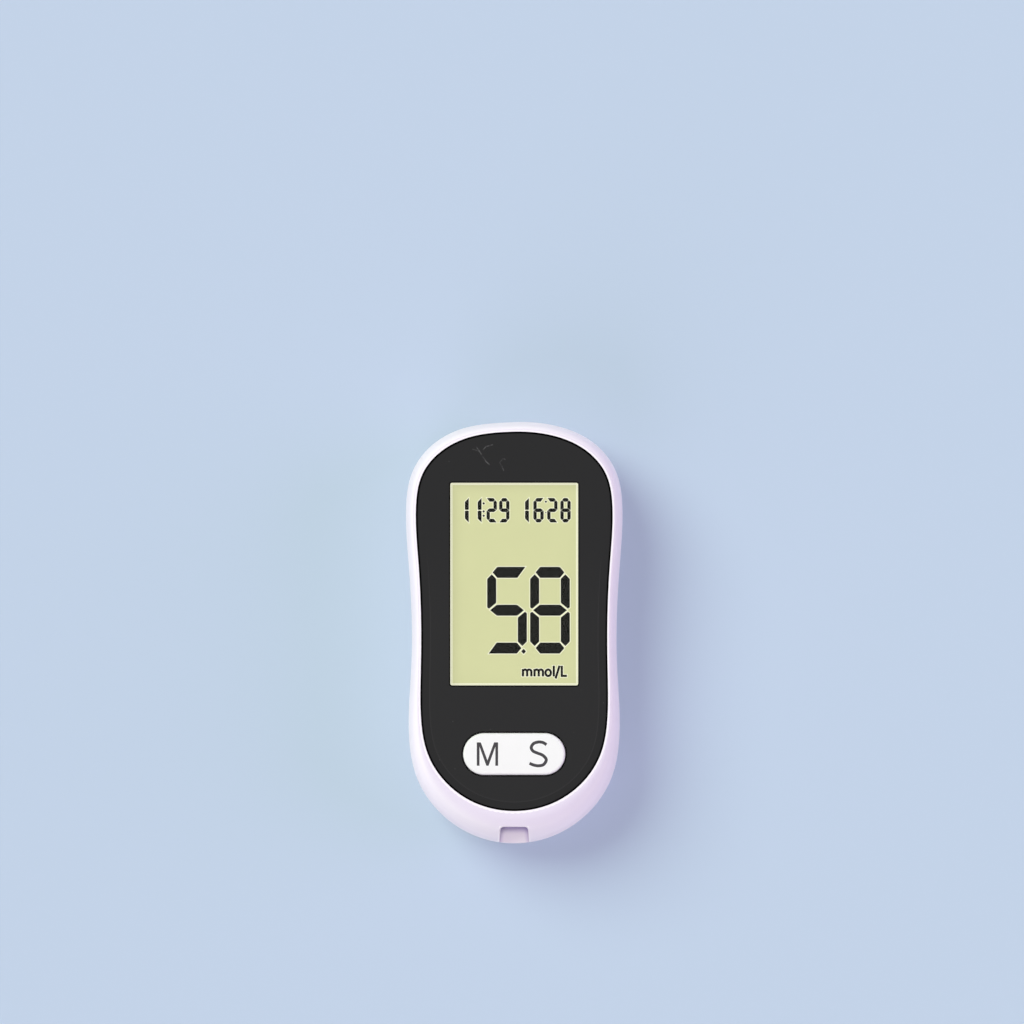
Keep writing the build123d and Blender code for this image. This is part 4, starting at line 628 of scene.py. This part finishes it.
def grow(outline, margin):
    """A closed outline with each of its edges shifted outwards by the margin."""
    outline = counterclockwise(outline)
    after = normals(np.roll(outline, -1, 0) - outline)
    return outline + margin * mitres(np.roll(after, 1, 0), after)


def plate(outline, low, high):
    """Prism over a closed outline: its points at the low height, then again at the high."""
    outline = counterclockwise(outline)
    here = np.arange(len(outline))
    following = np.roll(here, -1)
    points = np.column_stack([np.tile(outline, (2, 1)), np.repeat((low, high), len(outline))])
    sides = np.stack([here, following, following + len(here), here + len(here)], 1)
    return points, [here[::-1].tolist(), (here + len(here)).tolist(), *sides.tolist()]


def pen(path, width, low, high, closed=False):
    """Rectangle carried along a path: half the width to each side along the mitre, and from
    the low to the high height; an open path gets a face at each end."""
    path = np.asarray(path, float)
    if closed:
        after = normals(np.roll(path, -1, 0) - path)
        shift = mitres(np.roll(after, 1, 0), after)
    else:
        sides = normals(np.diff(path, axis=0))
        shift = mitres(np.concatenate([sides[:1], sides]), np.concatenate([sides, sides[-1:]]))
    points = np.empty((len(path), 4, 3))
    points[..., :2] = path[:, None] + shift[:, None] * np.array([-1, -1, 1, 1])[:, None] * width / 2
    points[..., 2] = (low, high, high, low)
    index = np.arange(len(path) * 4).reshape(len(path), 4)
    here, there = (index, np.roll(index, -1, 0)) if closed else (index[:-1], index[1:])
    faces = np.stack([here, np.roll(here, -1, 1), np.roll(there, -1, 1), there], 2).reshape(-1, 4)
    ends = [] if closed else [index[0, ::-1].tolist(), index[-1].tolist()]
    return points.reshape(-1, 3), faces.tolist() + ends


def lengthened(path, extra):
    """An open path with its first and last run longer by this much."""
    path = np.array(path, float)
    for end, inner in ((0, 1), (-1, -2)):
        run = path[end] - path[inner]
        path[end] += extra * run / np.linalg.norm(run)
    return path


def arc(centre, radii, start, end, count=12):
    """Points on an ellipse from one angle to another, in degrees."""
    angles = np.radians(np.linspace(start, end, count))
    return np.column_stack([centre[0] + radii[0] * np.cos(angles),
                            centre[1] + radii[1] * np.sin(angles)])


def ring(centre, radii, count=12):
    """Closed outline of an ellipse."""
    return arc(centre, radii, 0, 360 - 360 / count, count)


def rounded_rectangle(centre, half, corner):
    """Closed outline: four quarter circles, counter-clockwise from the right side's foot."""
    signs = ((1, -1, 270), (1, 1, 0), (-1, 1, 90), (-1, -1, 180))
    return np.concatenate([
        arc((centre[0] + sx * (half[0] - corner), centre[1] + sy * (half[1] - corner)),
            (corner, corner), start, start + 90, 6) for sx, sy, start in signs])


def flowing(points):
    """Catmull-Rom curve through the points, its first and last point doubled."""
    points = np.asarray(points, float)
    knots = np.concatenate([points[:1], points, points[-1:]])
    share = np.linspace(0, 1, CURVE_STEPS, endpoint=False)[:, None]
    spans = [0.5 * (2 * b + (c - a) * share + (2 * a - 5 * b + 4 * c - d) * share ** 2
                    + (3 * b - 3 * c + d - a) * share ** 3)
             for a, b, c, d in zip(knots, knots[1:], knots[2:], knots[3:])]
    return np.concatenate([*spans, points[-1:]])


def make_piece(name, solids, finish, body):
    """One object from closed solids, given in millimetres, that rides on a body."""
    starts = np.cumsum([0] + [len(points) for points, _ in solids])
    faces = [[start + corner for corner in face]
             for start, (_, part) in zip(starts.tolist(), solids) for face in part]
    mesh = bpy.data.meshes.new(name)
    mesh.from_pydata(np.concatenate([points for points, _ in solids]) * MM, [], faces)
    mesh.materials.append(finish.material)
    made = bpy.data.objects.new(name, mesh)
    bpy.context.collection.objects.link(made)
    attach(made, body)
    return made


# ================================================================ display
FILM_TOP = float(film_high[2])
SEGMENT_RISE = 0.05            # the dark segments stand clear of all the pale edges
EDGE_TOP = FILM_TOP + INK_RISE
SEGMENT_TOP = FILM_TOP + SEGMENT_RISE
STEP_UP = 0.0004               # each overlapping plate is this much higher than the last
EDGE_WIDTH, SMALL_EDGE_WIDTH = 0.18, 0.15      # pale edges round the segments
RIM_WIDTH = 0.5                # pale line round the view

BIG_STYLE = (9.42, 20.55, 2.16, 2.61, 0.35)    # width, height, upright bar, level bar, gap
SMALL_STYLE = (2.45, 5.80, 0.80, 0.88, 0.07)
BIG_DIGITS = (("5", -6.42), ("8", 3.76))       # each with its left side
BIG_TOP = 15.64
SMALL_DIGITS = (("1", -11.70), ("1", -8.66), ("2", -6.57), ("9", -3.58),
                ("1", 2.56), ("6", 4.53), ("2", 7.81), ("8", 10.93))
SMALL_TOP = 31.96
DIGIT_BARS = {"2": "abged", "5": "afgcd", "6": "afgedc", "8": "abcdefg", "9": "abcdfg"}
DOTS = ((-7.25, 30.68, 0.27), (-7.25, 28.78, 0.27), (-7.25, 27.76, 0.27),
        (7.49, 31.09, 0.25), (7.49, 28.50, 0.16))     # centre and radius
POINT_CENTRE, POINT_REACH = (2.22, -4.39), (0.58, 0.64)

UNIT_PEN = 0.55
UNIT_BASE, X_HEIGHT, CAP_HEIGHT = -10.33, 1.62, 2.41
OVERSHOOT = 0.14               # stems pass the letters' heights, and the L's foot the base line
BOW_RADIUS = 0.5               # of the two bows of an m
SMALL_M_LEFTS, SMALL_L_X = (2.06, 4.81), 9.38
SMALL_O_CENTRE, SMALL_O_RADII = (8.05, -9.46), (0.64, 0.76)
SLASH_FOOT_X, SLASH_HEAD_X, SLASH_DROP = 9.80, 10.74, 0.5
BIG_L_X, BIG_L_END_X = 11.27, 12.5


def digit(character, left, top, style):
    """Outlines of a digit's bars in its place. The bars are named a to g, clockwise from the
    top, with g in the middle. An upright bar ends in a right angle, a level bar in a blunter
    point, and where no upright bar follows it is cut on the slant."""
    width, height, upright, level, gap = style
    middle = height / 2
    shoulder = level + 0.7 * gap       # top of an upright bar's inner side
    outer_tip = upright / 2 + 0.6 * gap
    tip_run, cut_run, middle_run = 0.42 * level, 0.73 * level, 0.62 * level

    def flipped(outline, across, over):
        return [(width - x if across else x, height - y if over else y) for x, y in outline]

    def level_bar(left_joined, right_joined):
        blunt = outer_tip + tip_run
        ends = {True: [(blunt, level), (outer_tip, level / 2), (blunt, 0)],
                False: [(gap + cut_run, level), (gap, 0)]}
        return ends[left_joined] + flipped(ends[right_joined], True, False)[::-1]

    if character == "1":
        one_width = 1.15 * upright
        upper = [(one_width, 0), (0, shoulder), (0, middle - 2 * gap),
                 (one_width / 2, middle - gap), (one_width, middle - 2 * gap)]
        outlines = [upper, flipped(upper, False, True)]
    else:
        lit = DIGIT_BARS[character]
        side = [(upright / 2, shoulder - upright / 2), (upright, shoulder),
                (upright, middle - level / 2 - 1.3 * gap), (1.3 * gap, middle - gap),
                (0, middle - 2 * gap), (0, shoulder)]
        point = [(2 * gap + middle_run, middle + level / 2), (2 * gap, middle),
                 (2 * gap + middle_run, middle - level / 2)]
        shapes = {"a": level_bar("f" in lit, "b" in lit),
                  "b": flipped(side, True, False), "c": flipped(side, True, True),
                  "d": flipped(level_bar("e" in lit, "c" in lit), False, True),
                  "e": flipped(side, False, True), "f": side,
                  "g": point + flipped(point, True, False)[::-1]}
        outlines = [shapes[bar] for bar in lit]
    return [np.array((left, top)) + np.array(outline) * (1, -1) for outline in outlines]


def unit_strokes():
    """Centre lines of the letters mmol/L but for the o, each from its left on the base line."""
    cap_line = UNIT_BASE + CAP_HEIGHT + OVERSHOOT
    strokes = []
    for left in SMALL_M_LEFTS:
        strokes.append([(left, UNIT_BASE), (left, UNIT_BASE + X_HEIGHT + OVERSHOOT)])
        for start in (left, left + 2 * BOW_RADIUS):
            bow = arc((start + BOW_RADIUS, UNIT_BASE + X_HEIGHT - BOW_RADIUS),
                      (BOW_RADIUS, BOW_RADIUS), 180, 0)
            strokes.append([*bow, (start + 2 * BOW_RADIUS, UNIT_BASE)])
    strokes.append([(SMALL_L_X, UNIT_BASE), (SMALL_L_X, cap_line)])
    strokes.append([(SLASH_FOOT_X, UNIT_BASE - SLASH_DROP), (SLASH_HEAD_X, cap_line)])
    strokes.append([(BIG_L_X, cap_line), (BIG_L_X, UNIT_BASE + OVERSHOOT),
                    (BIG_L_END_X, UNIT_BASE + OVERSHOOT)])
    return strokes


def segment_outlines():
    """Each digit's bars, the dots and the decimal point, each with its pale edge's width."""
    outlines = [(bar, EDGE_WIDTH) for character, left in BIG_DIGITS
                for bar in digit(character, left, BIG_TOP, BIG_STYLE)]
    outlines += [(bar, SMALL_EDGE_WIDTH) for character, left in SMALL_DIGITS
                 for bar in digit(character, left, SMALL_TOP, SMALL_STYLE)]
    outlines += [(ring((x, y), (radius, radius)), SMALL_EDGE_WIDTH) for x, y, radius in DOTS]
    diamond = np.array([(1, 0), (0, 1), (-1, 0), (0, -1)])
    outlines.append((np.array(POINT_CENTRE) + diamond * POINT_REACH, EDGE_WIDTH))
    return outlines


def make_display():
    """Lit segments and the unit, each with its pale edge, and the pale line round the view."""
    outlines, strokes = segment_outlines(), unit_strokes()
    letter_o = ring(SMALL_O_CENTRE, SMALL_O_RADII, 24)

    low = FILM_TOP - SUNK
    dark = [plate(outline, low, SEGMENT_TOP) for outline, _ in outlines]
    dark += [pen(stroke, UNIT_PEN, low, SEGMENT_TOP + i * STEP_UP)
             for i, stroke in enumerate(strokes)]
    dark.append(pen(letter_o, UNIT_PEN, low, SEGMENT_TOP, closed=True))
    make_piece("lcd_segments", dark, segment_ink, "case")

    edged_pen = UNIT_PEN + 2 * SMALL_EDGE_WIDTH
    heights = iter(EDGE_TOP + STEP_UP * np.arange(len(outlines) + len(strokes) + 2))
    pale = [plate(grow(outline, edge), low, next(heights)) for outline, edge in outlines]
    pale += [pen(lengthened(stroke, SMALL_EDGE_WIDTH), edged_pen, low, next(heights))
             for stroke in strokes]
    pale.append(pen(letter_o, edged_pen, low, next(heights), closed=True))
    rim = rounded_rectangle(view_centre, view_half - RIM_WIDTH / 2, VIEW_CORNER - RIM_WIDTH / 2)
    pale.append(pen(rim, RIM_WIDTH, low, next(heights), closed=True))
    make_piece("lcd_pale_edges", pale, edge_glow, "case")


make_display()


# ================================================================ letters on the key
LETTER_LOW, LETTER_HIGH = float(key_high[2]) - SUNK, float(key_high[2]) + INK_RISE
M_STROKE, S_STROKE = 0.64, 0.71
M_LEFT, M_TOP = -8.87, -25.94
M_SIZE = (5.04, 5.53)
M_SHOULDER = 0.94              # stem and diagonal together, at the top
M_VALLEY = 4.28                # how deep the inner V reaches
M_FOOT = 0.52                  # flat foot of the V
M_CROTCH = 1.0                 # where stem and diagonal part, from the top
S_CENTRE = (5.68, -28.64)
S_LINE = ((1.95, 2.14), (1.18, 2.63), (0.12, 2.79), (-1.07, 2.43), (-1.65, 1.52),
          (-1.24, 0.65), (-0.15, 0.15), (1.10, -0.38), (1.91, -1.41), (1.27, -2.55),
          (0.12, -2.84), (-1.04, -2.67), (-2.05, -2.26))


def make_key_letters():
    """M as one outline and S as a stroke along a curve, printed on the key's two ends."""
    width, height = M_SIZE
    left_half = [(width / 2 - M_FOOT / 2, height), (M_STROKE, M_CROTCH), (M_STROKE, height),
                 (0, height), (0, 0), (M_SHOULDER, 0)]
    outline = left_half + [(width / 2, M_VALLEY)] + [(width - x, y) for x, y in reversed(left_half)]
    letter_m = np.array((M_LEFT, M_TOP)) + np.array(outline) * (1, -1)
    letter_s = np.array(S_CENTRE) + flowing(S_LINE)
    solids = [plate(letter_m, LETTER_LOW, LETTER_HIGH),
              pen(letter_s, S_STROKE, LETTER_LOW, LETTER_HIGH)]
    make_piece("key_letters", solids, letter_ink, "key")


make_key_letters()


# ================================================================ marks on the battery door
DOOR_FACE = float(door_low[2])
MARK_RISE = 0.09               # how far the marks stand out of the door
ARROW_TIP, ARROW_SIZE = (0.0, -5.6), (7.0, 4.4)
GRIP_BARS, GRIP_PITCH = 4, 1.5
GRIP_HALF, GRIP_CORNER = (5.0, 0.3), 0.29


def make_door_marks():
    """Raised arrow that points to the latch, and a row of raised grip bars behind it."""
    tip, size = np.array(ARROW_TIP), np.array(ARROW_SIZE)
    arrow = tip + np.array([(0, 0), (0.5, 1), (-0.5, 1)]) * size
    low, high = DOOR_FACE - MARK_RISE, DOOR_FACE + SUNK
    solids = [plate(arrow, low, high)]
    for bar in range(GRIP_BARS):
        centre = (0.0, ARROW_TIP[1] + ARROW_SIZE[1] + GRIP_PITCH * (bar + 1))
        solids.append(plate(rounded_rectangle(centre, GRIP_HALF, GRIP_CORNER), low, high))
    make_piece("door_marks", solids, rear_shell, "battery_door")


make_door_marks()


# ================================================================ floor, light and camera
BACKDROP = 0.93                # what camera and reflections see past the object
AMBIENT = 0.525                # light from above, on every surface
BOUNCE = 0.76                  # light from below, as a white table sends it back
HORIZON_BLUR = 0.1             # height over which the one turns into the other, of a unit sphere
LAMP_SOFTNESS = 40             # each lamp's angle as seen from the meter, in degrees
FLOOR_COLOUR = srgb(190, 208, 226)
FLOOR_REACH = 3000.0           # from the meter's middle to each side
FLOOR_Z = -0.05                # just clear of the flat back, so that the two never coincide
SILHOUETTE_RISE = 3.0          # from the front cover's foot to where the case is widest
FRAME_WIDTH = 243.0            # what the camera takes in from side to side at that height
FRAME_CENTRE = (-0.53, 28.64)
LENS, SENSOR = 1000.0, 36.0    # focal length and sensor width


def make_floor():
    """Wide pale floor. It shows the meter's shadow, tints nothing and is clear from below."""
    finish = Finish("floor", FLOOR_COLOUR, 0.9, Specular_IOR_Level=0.0)
    finish.set(Roughness=0.88 + 0.04 * finish.noise(0.02))
    finish.see_through(finish.node("ShaderNodeNewGeometry", output="Backfacing"))
    corners = FLOOR_REACH * np.array([(-1, -1), (1, -1), (1, 1), (-1, 1)])
    mesh = bpy.data.meshes.new("floor")
    mesh.from_pydata(np.column_stack([corners, [FLOOR_Z] * 4]) * MM, [], [(0, 1, 2, 3)])
    mesh.materials.append(finish.material)
    floor = bpy.data.objects.new("floor", mesh)
    bpy.context.collection.objects.link(floor)
    floor.visible_diffuse = False
    floor.visible_shadow = False


def make_world():
    """White light on every surface, from above and, stronger, from below. The camera, mirror
    reflections and glass see a white backdrop instead: every ray that hasn't yet left a matte
    surface."""
    world = bpy.data.worlds.new("studio")
    bpy.context.scene.world = world
    world.use_nodes = True
    nodes = Nodes(world.node_tree)
    direction = nodes.node("ShaderNodeTexCoord", output="Generated")
    height = nodes.node("ShaderNodeSeparateXYZ", inputs={0: direction}, output="Z")
    lit = nodes.node("ShaderNodeMapRange", None,
                     {"Value": height, "From Min": -HORIZON_BLUR, "From Max": HORIZON_BLUR,
                      "To Min": BOUNCE, "To Max": AMBIENT})
    diffuse_bounces = nodes.node("ShaderNodeLightPath", output="Diffuse Depth")
    strength = nodes.node("ShaderNodeMapRange", None,
                          {"Value": diffuse_bounces, "To Min": BACKDROP, "To Max": lit})
    sky = world.node_tree.nodes["Background"]
    nodes.feed(sky.inputs["Strength"], strength)
    nodes.feed(sky.inputs["Color"], (1.0, 1.0, 1.0))


def make_sun(name, side, elevation, strength, colour):
    """Sun that shines from a side (degrees from +X to +Y) and from a height above the floor."""
    lamp = bpy.data.lights.new(name, "SUN")
    lamp.energy, lamp.color, lamp.angle = strength, colour, math.radians(LAMP_SOFTNESS)
    sun = bpy.data.objects.new(name, lamp)
    sun.rotation_euler = (math.radians(90 - elevation), 0, math.radians(side + 90))
    sun.visible_transmission = False   # its light already passes straight through the pane
    sun.visible_glossy = False         # mirror reflections show the backdrop alone
    bpy.context.collection.objects.link(sun)


def make_camera():
    """Long lens straight above the meter."""
    lens = bpy.data.cameras.new("camera")
    lens.lens, lens.sensor_width = LENS, SENSOR
    distance = FRAME_WIDTH / SENSOR * LENS
    silhouette = float(case_low[2]) + SILHOUETTE_RISE
    camera = bpy.data.objects.new("camera", lens)
    camera.location = (FRAME_CENTRE[0] * MM, FRAME_CENTRE[1] * MM, (distance + silhouette) * MM)
    bpy.context.collection.objects.link(camera)
    bpy.context.scene.camera = camera


make_floor()
make_world()
make_sun("key_light", side=139, elevation=41, strength=1.93, colour=(0.95, 1.0, 0.88))
make_sun("fill_light", side=5, elevation=20, strength=0.80, colour=(0.80, 0.42, 1.0))
make_sun("front_light", side=-115, elevation=25, strength=0.67, colour=(0.90, 0.70, 1.0))
make_camera()
bpy.context.scene.view_settings.view_transform = "Standard"
